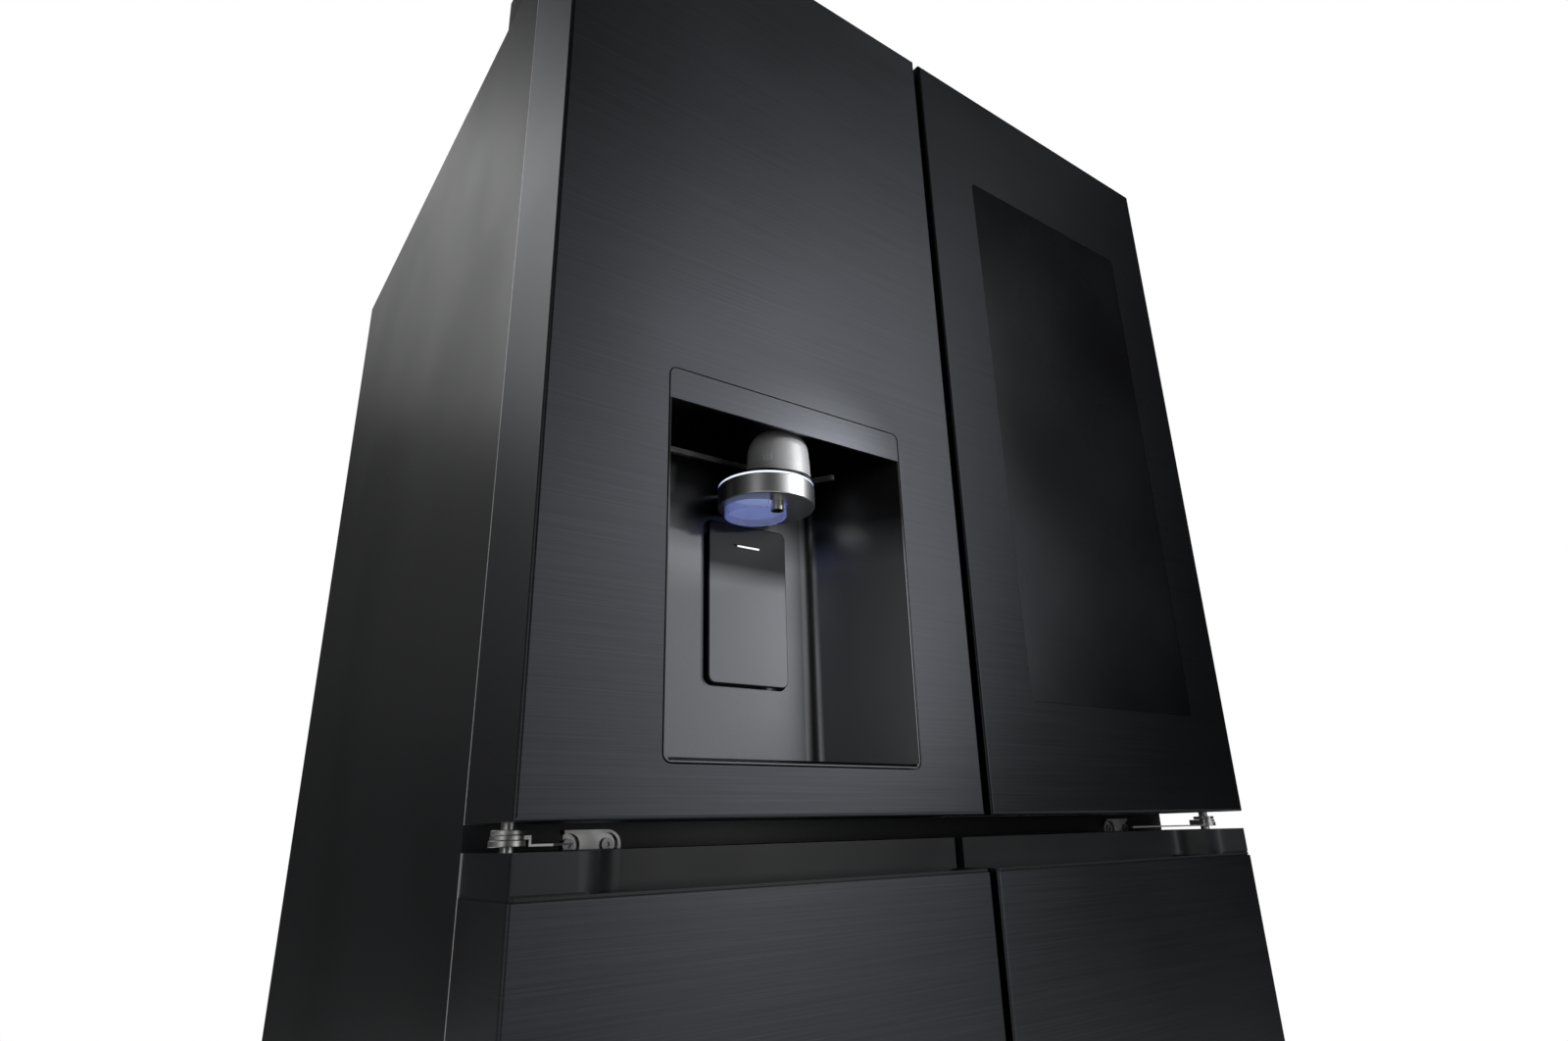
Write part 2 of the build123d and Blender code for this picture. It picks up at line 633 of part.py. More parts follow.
cover = block(-CASE_HALF, CASE_HALF, CASE_BACK, DEPTH, CASE_BOTTOM, MACHINE_TOP - 0.5)
cover -= deep(VALVE_X, CASE_BACK - 1, DEPTH + 1, inlet_z, INLET_RADIUS + 3)
cover -= deep(GLAND_X, CASE_BACK - 1, DEPTH + 1, gland_z, GLAND_RADIUS + 0.3)
for column in range(VENT_COLUMNS):
    for row in range(VENT_ROWS):
        vent_x = -220 + column * 150
        vent_z = CASE_BOTTOM + 60 + row * 26
        cover -= block(vent_x - 60, vent_x + 60, CASE_BACK - 1, DEPTH + 1, vent_z, vent_z + 9)
parts["machine_cover"] = cover

# ---- Hinges, left side then mirrored -------------------------------------------------
arm_z = DOOR_TOP + 2.0
arm_top = arm_z + BRACKET_SHEET
bracket_left = -HINGE_X - BRACKET_OUTSIDE
bracket_right = -HINGE_X + BRACKET_INSIDE
bracket_back = CASE_FRONT + BRACKET_REACH
bracket_top = CASE_TOP + BRACKET_SHEET
upright_back = CASE_FRONT + BRACKET_SHEET
top_bracket = block(bracket_left, bracket_right, CASE_FRONT, bracket_back, CASE_TOP, bracket_top)
top_bracket += block(bracket_left, bracket_right, CASE_FRONT, upright_back, CASE_TOP, arm_top)
top_bracket += block(bracket_left, -HINGE_X + 30, HINGE_DEPTH, upright_back, arm_z, arm_top)
top_bracket += upright(-HINGE_X, HINGE_DEPTH, arm_z, arm_top, BRACKET_OUTSIDE)
top_bracket -= hinge_bore(arm_z - 1, arm_top + 1, PIN_RADIUS + RUNNING_FIT)
top_screw_places = [(-HINGE_X + dx, CASE_FRONT + dd) for dx in (0, 44) for dd in (30, 70)]
for x, d in top_screw_places:
    top_bracket -= upright(x, d, CASE_TOP - 1, bracket_top + 1, SCREW_HOLE)
parts["top_hinge_brackets"] = pair(top_bracket)

cover_left = -CASE_HALF
cover_right = -HINGE_X + COVER_INSIDE
cover_back = CASE_FRONT + COVER_BACK
step_z = DOOR_TOP + 1.2


def cover_profile(margin):
    """The hinge cover's side outline, set in by a margin; the open underside is never set in."""
    front = COVER_FRONT + margin
    step = CASE_FRONT - 3.0 + margin
    points = [
        (front, step_z), (step, step_z), (step, CASE_TOP), (cover_back - margin, CASE_TOP),
        (cover_back - margin, HEIGHT - margin), (front, HEIGHT - margin),
    ]
    return [(FRONT + d, z) for d, z in points]


def cover_solid(x0, x1, margin):
    """The cover's side outline carried across between two X values."""
    face = make_face(Plane.YZ * Polyline(*cover_profile(margin), close=True))
    return Pos(x0, 0, 0) * extrude(face, amount=x1 - x0, dir=(1, 0, 0))


hinge_cover = cover_solid(cover_left, cover_right, 0.0)
hinge_cover = fillet(hinge_cover.faces().sort_by(Axis.Z)[-1].edges(), 3.0)
cover_hollow = cover_solid(cover_left + COVER_WALL, cover_right - COVER_WALL, COVER_WALL)
parts["hinge_covers"] = pair(hinge_cover - cover_hollow)

# Middle hinge: a plate on the rail, a low arm, a riser and a round-ended tab
plate_left = -HINGE_X + PLATE_FROM_HINGE
plate_right = plate_left + PLATE_WIDTH
plate_front = CASE_FRONT - PLATE
plate_bottom = UPPER_DOOR_BOTTOM - 38
plate_top = UPPER_DOOR_BOTTOM - 5
recess_floor = CASE_FRONT - 1.0
screw_z = plate_top - 2.5 - PLATE_RECESS_RADIUS
screw_xs = (plate_left + 4, plate_left + 37.5)
tab_z = UPPER_DOOR_BOTTOM - 11.3
tab_top = tab_z + TAB_THICK
low_arm_z = LOWER_CAP_TOP + 3.6
low_arm_top = low_arm_z + ARM_THICK
riser_x = -HINGE_X + 13
arm_front = HINGE_DEPTH - 7
riser_back = HINGE_DEPTH + 11
plate = block(plate_left, plate_right, plate_front, CASE_FRONT, plate_bottom, plate_top)
corner_edges = plate.edges().filter_by(Axis.Y).sort_by(Axis.X)[-2:]
plate = fillet(corner_edges, 12.0)
low_arm = plan_prism([
    (plate_left + 3, CASE_FRONT), (plate_left - 20, CASE_FRONT), (riser_x, HINGE_DEPTH + 25),
    (riser_x, arm_front), (riser_x + 18, arm_front), (plate_left + 3, CASE_FRONT - 14),
], low_arm_z, low_arm_top)
riser = block(riser_x, riser_x + ARM_THICK, arm_front, riser_back, low_arm_z, tab_top)
tab = block(-HINGE_X, riser_x + 1, arm_front, riser_back, tab_z, tab_top)
tab += upright(-HINGE_X, HINGE_DEPTH, tab_z, tab_top, TAB_RADIUS)
bracket = plate + low_arm + riser + tab
for x in screw_xs:
    bracket -= deep(x, plate_front - 8, recess_floor, screw_z, PLATE_RECESS_RADIUS)
    bracket -= deep(x, recess_floor - 1, CASE_FRONT + 1, screw_z, SCREW_HOLE)
bracket -= hinge_bore(tab_z - 1, tab_top + 1, MIDDLE_PIN_RADIUS + RUNNING_FIT)
parts["middle_hinge_brackets"] = pair(bracket)

foot_thick = 4.0
foot_z = LOWER_DOOR_BOTTOM - 10.0
foot_top = foot_z + foot_thick
foot = block(-HINGE_X - TAB_RADIUS, -HINGE_X + TAB_RADIUS, HINGE_DEPTH, BEAM_FRONT, foot_z, foot_top)
foot += upright(-HINGE_X, HINGE_DEPTH, foot_z, foot_top, TAB_RADIUS)
foot += block(-RAIL_OUT, -RAIL_OUT + 50, BEAM_FRONT - foot_thick, BEAM_FRONT, frame_bottom, foot_top)
foot -= hinge_bore(foot_z - 1, foot_top + 1, PIN_RADIUS + RUNNING_FIT)
parts["bottom_hinge_brackets"] = pair(foot)

# The middle pin carries a low nut under the tab and a thinner one above it
nut_gap = 0.3
top_pin = hinge_bore(DOOR_TOP - PIN_REACH, arm_top, PIN_RADIUS)
bottom_pin = hinge_bore(foot_z, LOWER_DOOR_BOTTOM + PIN_REACH, PIN_RADIUS)
middle_pin = hinge_bore(LOWER_CAP_TOP - PIN_REACH, UPPER_DOOR_BOTTOM + PIN_REACH, MIDDLE_PIN_RADIUS)
nut_low = hinge_bore(low_arm_z, tab_z - nut_gap, LOW_NUT_RADIUS)
nut_high = hinge_bore(tab_top + nut_gap, plate_top + 0.2, HIGH_NUT_RADIUS)
for nut in (nut_low, nut_high):
    middle_pin += fillet(nut.edges().filter_by(GeomType.CIRCLE), 0.6)
parts["hinge_pins"] = group([pair(top_pin), pair(middle_pin), pair(bottom_pin)])

head_thick = 2.4
socket_depth = 1.4
screws = []
for x in screw_xs:
    head_front = recess_floor - head_thick
    screw = deep(x, head_front, recess_floor, screw_z, 5.0)
    screw += deep(x, recess_floor - 0.5, LINER_FRONT, screw_z, SHANK_RADIUS)
    socket = Pos(x, FRONT + head_front, screw_z) * Rot(90, 0, 0)
    screws.append(screw - socket * extrude(RegularPolygon(2.2, 6), amount=-socket_depth))
for x, d in top_screw_places:
    screw = upright(x, d, bracket_top, bracket_top + BRACKET_SHEET, 5.5)
    screws.append(screw + upright(x, d, CASE_TOP, bracket_top + 1, SHANK_RADIUS))
parts["hinge_screws"] = group([pair(group([screw])) for screw in screws])
for x in screw_xs:
    for side in (-1, 1):
        rail -= deep(side * x, CASE_FRONT - 1, LINER_FRONT + 1, screw_z, SCREW_HOLE)
parts["middle_rail"] = group([rail, rail_post, rail_sill])

# ---- Upper left door -----------------------------------------------------------------
LEFT = -HALF
RIGHT = -DOOR_EDGE
disp_right = -DISPENSER_FROM_CENTRE
disp_left = disp_right - DISPENSER_WIDTH
disp_bottom = UPPER_DOOR_BOTTOM + DISPENSER_FROM_BOTTOM
disp_top = disp_bottom + DISPENSER_HEIGHT
disp_x = (disp_left + disp_right) / 2
opening = block(disp_left, disp_right, -5, HOUSING_DEPTH + 0.5, disp_bottom, disp_top)
opening = rounded(opening, Axis.Y, DISPENSER_CORNER)
skin = door_pan(LEFT, RIGHT, PLATE_BACK, UPPER_DOOR_BOTTOM, DOOR_TOP) - opening
for z in (UPPER_DOOR_BOTTOM, DOOR_TOP):
    skin -= hinge_bore(z - 2, z + 2, PIN_RADIUS + 2)
parts["left_door_skin"] = skin
bulge_left = LEFT + BULGE_SIDE
bulge_right = -BULGE_CENTRE
bulge_bottom = UPPER_DOOR_BOTTOM + 35
bulge_top = FRIDGE_CEILING - 12
door_foam = door_core(LEFT, RIGHT, PLATE_BACK, UPPER_DOOR_BOTTOM, DOOR_TOP) - opening
door_foam += block(bulge_left, bulge_right, PLATE_BACK - 1, BULGE_BACK - LINER, bulge_bottom, bulge_top)
door_foam -= opening
pin_room = PIN_REACH + 2
door_foam -= hinge_bore(UPPER_DOOR_BOTTOM, UPPER_DOOR_BOTTOM + pin_room, MIDDLE_PIN_RADIUS + RUNNING_FIT)
door_foam -= hinge_bore(DOOR_TOP - pin_room, DOOR_TOP, PIN_RADIUS + RUNNING_FIT)
parts["left_door_foam"] = door_foam
liner = block(LEFT, RIGHT, PLATE_BACK, DOOR_THICK, UPPER_DOOR_BOTTOM, DOOR_TOP)
liner += block(
    bulge_left - LINER, bulge_right + LINER, PLATE_BACK, BULGE_BACK, bulge_bottom - LINER, bulge_top + LINER
)
liner -= block(bulge_left, bulge_right, PLATE_BACK - 1, BULGE_BACK - LINER, bulge_bottom, bulge_top)

flap_bottom = FRIDGE_FLOOR + 16
flap_top = FRIDGE_CEILING - 16
flap_d = CASE_FRONT + 0.4 + FLAP_THICK / 2
lug_spans = ((flap_bottom - FLAP_LUG, flap_bottom - 0.5), (flap_top + 0.5, flap_top + FLAP_LUG))
for z0, z1 in lug_spans:
    lug = block(-FLAP_PIVOT_X - 9, -FLAP_PIVOT_X + 9, PLATE_BACK, flap_d + 8, z0, z1)
    liner += lug - upright(-FLAP_PIVOT_X, flap_d, z0 - 1, z1 + 1, FLAP_PIN_RADIUS + RUNNING_FIT)
parts["left_door_liner"] = liner
flap_half = FLAP_THICK / 2
flap = block(
    -FLAP_PIVOT_X - flap_half, -FLAP_PIVOT_X + flap_half, flap_d - flap_half,
    flap_d - flap_half + FLAP_WIDTH, flap_bottom, flap_top
)
flap = rounded(flap, Axis.Z, 4.0)
flap += upright(-FLAP_PIVOT_X, flap_d, flap_bottom - FLAP_LUG + 1, flap_top + FLAP_LUG - 1, FLAP_PIN_RADIUS)
parts["mullion_flap"] = flap


def seal_ring(x0, x1, z0, z1, d0, d1):
    """A door seal: a rectangular ring of soft strip with rounded corners."""
    outer = rounded(block(x0, x1, d0, d1, z0, z1), Axis.Y, 12.0)
    inner = block(x0 + SEAL_WIDTH, x1 - SEAL_WIDTH, d0 - 1, d1 + 1, z0 + SEAL_WIDTH, z1 - SEAL_WIDTH)
    return outer - rounded(inner, Axis.Y, 6.0)


seal_left = -HINGE_X + 2
seal_right = -14.0
seal_back = CASE_FRONT - SEAL_CLEARANCE
seal_top = CASE_TOP - 18
upper_seal = seal_ring(
    seal_left, seal_right, UPPER_DOOR_BOTTOM + 4, seal_top, DOOR_THICK, seal_back
)
parts["left_door_gasket"] = upper_seal
parts["right_door_gasket"] = mirrored(upper_seal)
bin_pitch = (bulge_top - bulge_bottom - 60) / 3
parts["left_door_bins"] = group([
    tray(
        bulge_left + 12, bulge_right - 12, BULGE_BACK, BULGE_BACK + BIN_DEPTH,
        bulge_bottom + 30 + index * bin_pitch, bulge_bottom + 30 + index * bin_pitch + BIN_HEIGHT
    )
    for index in range(3)
])

# ---- Dispenser -----------------------------------------------------------------------
house_left = disp_left + SEAM
house_right = disp_right - SEAM
house_bottom = disp_bottom + SEAM
house_top = disp_top - SEAM
recess_bottom = house_bottom + RECESS_FLOOR
recess_top = house_top - RECESS_ROOF
fascia_bottom = disp_top - FASCIA_HEIGHT


def recess_prism(inset, z0, z1):
    """The hollow of the recess, set in from its walls: wide at the front, narrower at the back."""
    front_half = (house_right - house_left) / 2 - RIM - inset
    back_left = disp_x - RECESS_LEFT_HALF + inset
    back_right = disp_x + RECESS_RIGHT_HALF - inset
    prism = plan_prism([
        (disp_x - front_half, -5), (disp_x - front_half, 0), (back_left, RECESS_DEPTH - inset),
        (back_right, RECESS_DEPTH - inset), (disp_x + front_half, 0), (disp_x + front_half, -5),
    ], z0, z1)
    back_edges = prism.edges().filter_by(Axis.Z).sort_by(Axis.Y)[-2:]
    return fillet(back_edges, RECESS_FILLET - inset)


housing = block(house_left, house_right, 0, HOUSING_DEPTH, house_bottom, house_top)
housing = rounded(housing, Axis.Y, DISPENSER_CORNER - SEAM)
housing -= recess_prism(0.0, recess_bottom, recess_top)
sloped_lip = Polyline(
    (FRONT - 1, house_bottom + RIM), (FRONT, house_bottom + RIM), (FRONT + DRIP_FRONT - 1, recess_bottom),
    (FRONT - 1, recess_bottom), close=True
)
lip_half = (house_right - house_left) / 2 - RECESS_FLOOR
lip_cut = extrude(make_face(Plane.YZ * sloped_lip), amount=2 * lip_half, dir=(1, 0, 0))
housing -= Pos(disp_x - lip_half, 0, 0) * lip_cut
housing -= block(
    house_left - 1, house_right + 1, -1, FASCIA_THICK + 0.2, fascia_bottom, house_top + 1
)
paddle_bottom = recess_bottom + PADDLE_ABOVE_FLOOR
paddle_top = paddle_bottom + PADDLE_HEIGHT
paddle_half = PADDLE_WIDTH / 2
pocket = block(
    disp_x - paddle_half - PADDLE_GAP, disp_x + paddle_half + PADDLE_GAP, RECESS_DEPTH - 4,
    RECESS_DEPTH + PADDLE_SWING, paddle_bottom - PADDLE_GAP, paddle_top + PADDLE_GAP
)
housing -= rounded(pocket, Axis.Y, PADDLE_CORNER + PADDLE_GAP)
pivot_d = RECESS_DEPTH + 5
pivot_z = paddle_top - 14
trunnion_half = paddle_half + PADDLE_GAP + 4
bore_half = trunnion_half + 0.5
housing -= across(disp_x - bore_half, disp_x + bore_half, pivot_d, pivot_z, TRUNNION_RADIUS + RUNNING_FIT)
disk_top = fascia_bottom - NOZZLE_UNDER_FASCIA + NOZZLE_THICK
disk_bottom = disk_top - NOZZLE_THICK
shelf_bottom = disk_top + HALO_THICK + 0.2
shelf = upright(disp_x, NOZZLE_DEPTH, shelf_bottom, shelf_bottom + SHELF_THICK, NOZZLE_RADIUS - 2.5)
trim_left = disp_x - NOZZLE_RADIUS - 1
trim_right = disp_x + NOZZLE_RADIUS + 1
wall_trim = block(trim_left, trim_right, -5, RECESS_DEPTH - 0.2, disk_bottom - 20, recess_top)
shelf_trim = block(trim_left, trim_right, 0, RECESS_DEPTH + 1, disk_bottom, recess_top)
housing += shelf & shelf_trim
drip_well = recess_prism(DRIP_MARGIN - 0.3, recess_bottom - DRIP_THICK + 0.1, recess_bottom + 1)
drip_area = block(disp_left, disp_right, DRIP_FRONT, RECESS_DEPTH - 14, house_bottom, disk_bottom)
housing -= drip_well & block(
    disp_left, disp_right, DRIP_FRONT - 0.3, RECESS_DEPTH - 13.7, house_bottom, disk_bottom
)
parts["dispenser_housing"] = housing
fascia = block(house_left, house_right, 0, FASCIA_THICK, fascia_bottom, house_top)
fascia_corners = fascia.edges().filter_by(Axis.Y).sort_by(Axis.Z)[-2:]
parts["dispenser_fascia"] = fillet(fascia_corners, DISPENSER_CORNER - SEAM)

paddle_front = RECESS_DEPTH - PADDLE_PROUD
paddle_back = paddle_front + PADDLE_THICK
paddle_left = disp_x - paddle_half
paddle_right = disp_x + paddle_half
paddle = block(paddle_left, paddle_right, paddle_front, paddle_back, paddle_bottom, paddle_top)
paddle = soften_front(rounded(paddle, Axis.Y, PADDLE_CORNER), 1.2)
paddle += block(
    paddle_left + 8, paddle_right - 8, paddle_back - 1, pivot_d + TRUNNION_RADIUS, pivot_z - 4, pivot_z + 4
)
paddle += across(disp_x - trunnion_half, disp_x + trunnion_half, pivot_d, pivot_z, TRUNNION_RADIUS)
finger_bottom = pivot_z - FINGER_SLOT_DROP
paddle -= block(
    disp_x + FINGER_SLOT[0], disp_x + FINGER_SLOT[1], paddle_front - 1, paddle_front + FINGER_SLOT_DEEP,
    finger_bottom, finger_bottom + FINGER_SLOT_HEIGHT
)
parts["dispenser_paddle"] = paddle

chute_x = disp_x + CHUTE_OFFSET[0]
chute_d = NOZZLE_DEPTH + CHUTE_OFFSET[1]
spout_x = disp_x + SPOUT_OFFSET[0]
spout_d = NOZZLE_DEPTH + SPOUT_OFFSET[1]
disk = upright(disp_x, NOZZLE_DEPTH, disk_bottom, disk_top, NOZZLE_RADIUS)
disk = fillet(disk.edges().filter_by(GeomType.CIRCLE), 1.0)
disk -= upright(chute_x, chute_d, disk_bottom - 1, disk_top - 3, CHUTE_RADIUS + 0.2)
disk -= upright(spout_x, spout_d, disk_bottom - 1, disk_top - 3, SPOUT_RADIUS + 0.2)
parts["nozzle_disk"] = disk & wall_trim
halo = upright(disp_x, NOZZLE_DEPTH, disk_top, disk_top + HALO_THICK, NOZZLE_RADIUS - 0.4)
halo -= upright(disp_x, NOZZLE_DEPTH, disk_top - 1, disk_top + HALO_THICK + 1, NOZZLE_RADIUS - 5)
parts["nozzle_halo"] = halo & wall_trim
chute = upright(chute_x, chute_d, disk_bottom - CHUTE_DROP, disk_top - 3.2, CHUTE_RADIUS)
chute -= upright(
    chute_x, chute_d, disk_bottom - CHUTE_DROP - 1, disk_top, CHUTE_RADIUS - CHUTE_WALL
)
chute -= upright(spout_x, spout_d, disk_bottom - CHUTE_DROP - 1, disk_top, SPOUT_RADIUS + 4)
parts["ice_chute"] = chute & wall_trim
spout = upright(spout_x, spout_d, disk_bottom - SPOUT_DROP, disk_top - 3.2, SPOUT_RADIUS)
spout -= upright(spout_x, spout_d, disk_bottom - SPOUT_DROP - 1, disk_top - 6, SPOUT_BORE)
parts["water_spout"] = spout
dome_bottom = shelf_bottom + SHELF_THICK
dome_height = recess_top - DOME_UNDER_ROOF - dome_bottom
dome = Pos(disp_x + DOME_OFFSET[0], FRONT + NOZZLE_DEPTH + DOME_OFFSET[1], dome_bottom + dome_height / 2)
dome = dome * Cone(DOME_RADIUS, DOME_TOP_RADIUS, dome_height)
parts["nozzle_dome"] = fillet(dome.edges().filter_by(GeomType.CIRCLE).sort_by(Axis.Z)[-1], DOME_ROUND)
bar_z = fascia_bottom - 3.0
accent = recess_prism(0.2, bar_z - 5, bar_z) - recess_prism(2.4, bar_z - 6, bar_z + 1)
parts["accent_bar"] = accent & block(disp_left, disp_right, 58, RECESS_DEPTH, bar_z - 6, bar_z + 1)
drip_top = recess_bottom + 0.1
drip = recess_prism(DRIP_MARGIN, drip_top - DRIP_THICK + 0.3, drip_top) & drip_area
drip_pitch = 17.0
for index in range(DRIP_SLOTS):
    slot_x = disp_x + (index - (DRIP_SLOTS - 1) / 2) * drip_pitch
    drip -= block(slot_x - 3, slot_x + 3, 16, RECESS_DEPTH - 26, drip_top - 1.3, drip_top + 1)
parts["drip_tray"] = drip

# ---- Upper right door: inner frame, and an outer door with a window -------------------
inner_front = OUTER_DOOR_THICK + DOOR_SPLIT
store_left = DOOR_EDGE + INNER_BORDER
store_right = HALF - INNER_BORDER
store_bottom = UPPER_DOOR_BOTTOM + INNER_END_BORDER
inner_frame = block(DOOR_EDGE, HALF, inner_front, DOOR_THICK, UPPER_DOOR_BOTTOM, DOOR_TOP)
dyke_top = FRIDGE_CEILING - 6
inner_frame += block(
    store_left - 14, store_right + 12, DOOR_THICK - 1, BULGE_BACK - 12, store_bottom - 14, dyke_top
)
store_hole = block(store_left, store_right, inner_front - 1, BULGE_BACK + 1, store_bottom, dyke_top - 14)
inner_frame -= store_hole
for z0, radius in ((UPPER_DOOR_BOTTOM, MIDDLE_PIN_RADIUS), (DOOR_TOP - LUG_THICK, PIN_RADIUS)):
    lug = upright(HINGE_X, HINGE_DEPTH, z0, z0 + LUG_THICK, LUG_RADIUS)
    z1 = z0 + LUG_THICK
    lug += block(HINGE_X - LUG_RADIUS, HINGE_X + LUG_RADIUS, HINGE_DEPTH, inner_front + 1, z0, z1)
    inner_frame += lug
    inner_frame -= upright(HINGE_X, HINGE_DEPTH, z0 - 1, z1 + 1, radius + RUNNING_FIT)
parts["right_inner_frame"] = inner_frame
right_bins = 4
right_bin_pitch = (dyke_top - 14 - store_bottom) / right_bins
parts["right_door_bins"] = group([
    tray(store_left, store_right, inner_front + 6, BULGE_BACK + 40, level, level + BIN_HEIGHT)
    for level in [store_bottom + 10 + index * right_bin_pitch for index in range(right_bins)]
])

window_left = DOOR_EDGE + WINDOW_LEFT_MARGIN
window_right = HALF - WINDOW_LEFT_MARGIN
window_bottom = UPPER_DOOR_BOTTOM + WINDOW_BOTTOM_MARGIN
window_top = DOOR_TOP - WINDOW_TOP_MARGIN
lug_room = LUG_RADIUS + LUG_CLEARANCE
lug_notches = [
    block(HINGE_X - lug_room, HALF + 1, HINGE_DEPTH - lug_room, OUTER_DOOR_THICK + 1, z0, z1)
    for z0, z1 in (
        (UPPER_DOOR_BOTTOM - 1, UPPER_DOOR_BOTTOM + LUG_THICK + 0.6),
        (DOOR_TOP - LUG_THICK - 0.6, DOOR_TOP + 1),
    )
]
window_hole = block(window_left, window_right, -1, OUTER_DOOR_THICK + 1, window_bottom, window_top)
window_hole = rounded(window_hole, Axis.Y, WINDOW_RADIUS)
outer_skin = door_pan(DOOR_EDGE, HALF, OUTER_DOOR_THICK, UPPER_DOOR_BOTTOM, DOOR_TOP) - window_hole
outer_core = door_core(DOOR_EDGE, HALF, OUTER_DOOR_THICK, UPPER_DOOR_BOTTOM, DOOR_TOP)
outer_core -= block(
    window_left + 8, window_right - 8, 0, OUTER_DOOR_THICK + 1, window_bottom + 8, window_top - 8
)
pane_seat = block(
    window_left - 1, window_right + 1, 0, GLASS_THICK + 0.4, window_bottom - 1, window_top + 1
)
outer_core -= pane_seat
inner_pane_front = OUTER_DOOR_THICK - INNER_PANE_INSET
inner_pane_seat = block(
    window_left - 1, window_right + 1, inner_pane_front, OUTER_DOOR_THICK + 1, window_bottom - 1,
    window_top + 1
)
outer_core -= inner_pane_seat
for notch in lug_notches:
    outer_skin -= notch
    outer_core -= notch
lower_lug_top = UPPER_DOOR_BOTTOM + LUG_THICK
upper_lug_bottom = DOOR_TOP - LUG_THICK
low_room = UPPER_DOOR_BOTTOM + pin_room
outer_core -= upright(HINGE_X, HINGE_DEPTH, lower_lug_top, low_room, MIDDLE_PIN_RADIUS + RUNNING_FIT)
outer_core -= upright(HINGE_X, HINGE_DEPTH, DOOR_TOP - pin_room, upper_lug_bottom, PIN_RADIUS + RUNNING_FIT)
parts["right_outer_skin"] = outer_skin
parts["right_outer_core"] = outer_core
pane = rounded(
    block(window_left + 0.4, window_right - 0.4, 0.2, GLASS_THICK, window_bottom + 0.4, window_top - 0.4),
    Axis.Y, WINDOW_RADIUS - 0.4
)
inner_pane = block(
    window_left, window_right, inner_pane_front, inner_pane_front + GLASS_THICK, window_bottom, window_top
)
parts["right_outer_glass"] = group([pane, inner_pane])
parts["right_outer_gasket"] = seal_ring(
    DOOR_EDGE + 12, HINGE_X - 2, UPPER_DOOR_BOTTOM + 14, DOOR_TOP - 14, OUTER_DOOR_THICK,
    inner_front - SEAL_CLEARANCE
)

# ---- Lower doors, left then mirrored --------------------------------------------------
lower_skin = door_pan(LEFT, RIGHT, PLATE_BACK, LOWER_DOOR_BOTTOM, LOWER_SKIN_TOP + 10)
lower_skin -= block(LEFT - 1, RIGHT + 1, -1, DOOR_THICK, LOWER_SKIN_TOP, LOWER_SKIN_TOP + 20)
lower_skin -= hinge_bore(LOWER_DOOR_BOTTOM - 1, LOWER_DOOR_BOTTOM + 2, PIN_RADIUS + 2)
cap_left = LEFT + SHEET
cap_right = RIGHT - SHEET
cap_bottom = LOWER_SKIN_TOP - CAP_UNDER
lip_bottom = LOWER_SKIN_TOP + LIP_GROOVE
lip_top = lip_bottom + LIP_STRIP
cap = block(cap_left, cap_right, SHEET, PLATE_BACK, cap_bottom, lip_top)
s_start = LEFT + FLUSH_END
s_end = s_start + S_CURVE_RUN
flush_d = SHEET + 0.4
s_curve = Spline(
    (s_start, FRONT + flush_d), (s_end, FRONT + POCKET_DEPTH), tangents=[(1, 0), (1, 0)]
)
raised_outline = Polyline(
    (s_end, FRONT + POCKET_DEPTH), (cap_right, FRONT + POCKET_DEPTH), (cap_right, FRONT + PLATE_BACK),
    (cap_left, FRONT + PLATE_BACK), (cap_left, FRONT + flush_d), (s_start, FRONT + flush_d),
)
raised_face = make_face(Curve() + [s_curve, raised_outline])
raised = Pos(0, 0, lip_top - 1) * extrude(raised_face, amount=LOWER_CAP_TOP - lip_top + 1)
cap += raised
cap -= block(cap_left - 1, cap_right + 1, 0, SHEET + LIP_STRIP, LOWER_SKIN_TOP, lip_bottom)
cap -= block(cap_left - 1, s_end, 0, SHEET + LIP_STRIP, lip_top, lip_top + CAP_GROOVE)
basin_bottom = LOWER_SKIN_TOP - BASIN_DEPTH
basin_right = cap_right - CAP_END_WALL
basin = block(s_end, basin_right, SHEET + POCKET_LIP, POCKET_DEPTH, basin_bottom, lip_top + 1)
cap -= fillet(basin.edges().filter_by(Axis.X).sort_by(Axis.Z)[:2], 6.0)
cap &= door_core(LEFT, RIGHT, PLATE_BACK, LOWER_DOOR_BOTTOM, HEIGHT)
cap -= hinge_bore(LOWER_CAP_TOP - pin_room, LOWER_CAP_TOP + 1, MIDDLE_PIN_RADIUS + RUNNING_FIT)
lower_bulge_gap = 22.0
lower_bulge = block(
    bulge_left, -PARTITION / 2 - lower_bulge_gap - LINER, PLATE_BACK, DOOR_THICK + LOWER_BULGE_THICK,
    CAVITY_BOTTOM + lower_bulge_gap, DIVIDER_BOTTOM - lower_bulge_gap
)
lower_core = block(cap_left, cap_right, SHEET, PLATE_BACK, LOWER_DOOR_BOTTOM + SHEET, cap_bottom)
front_bottom_edges = lower_core.faces().sort_by(Axis.Y)[0].edges().filter_by(Axis.Z)
lower_core = fillet(front_bottom_edges, FOAM_EDGE_RADIUS)
toe_top = LOWER_DOOR_BOTTOM + SHEET + FOAM_EDGE_RADIUS
lower_core -= block(cap_left - 1, cap_right + 1, 0, SHEET + FOAM_EDGE_RADIUS, LOWER_DOOR_BOTTOM, toe_top)
lower_core += block(LEFT, RIGHT, PLATE_BACK, DOOR_THICK, LOWER_DOOR_BOTTOM, LOWER_CAP_TOP)
lower_core += lower_bulge
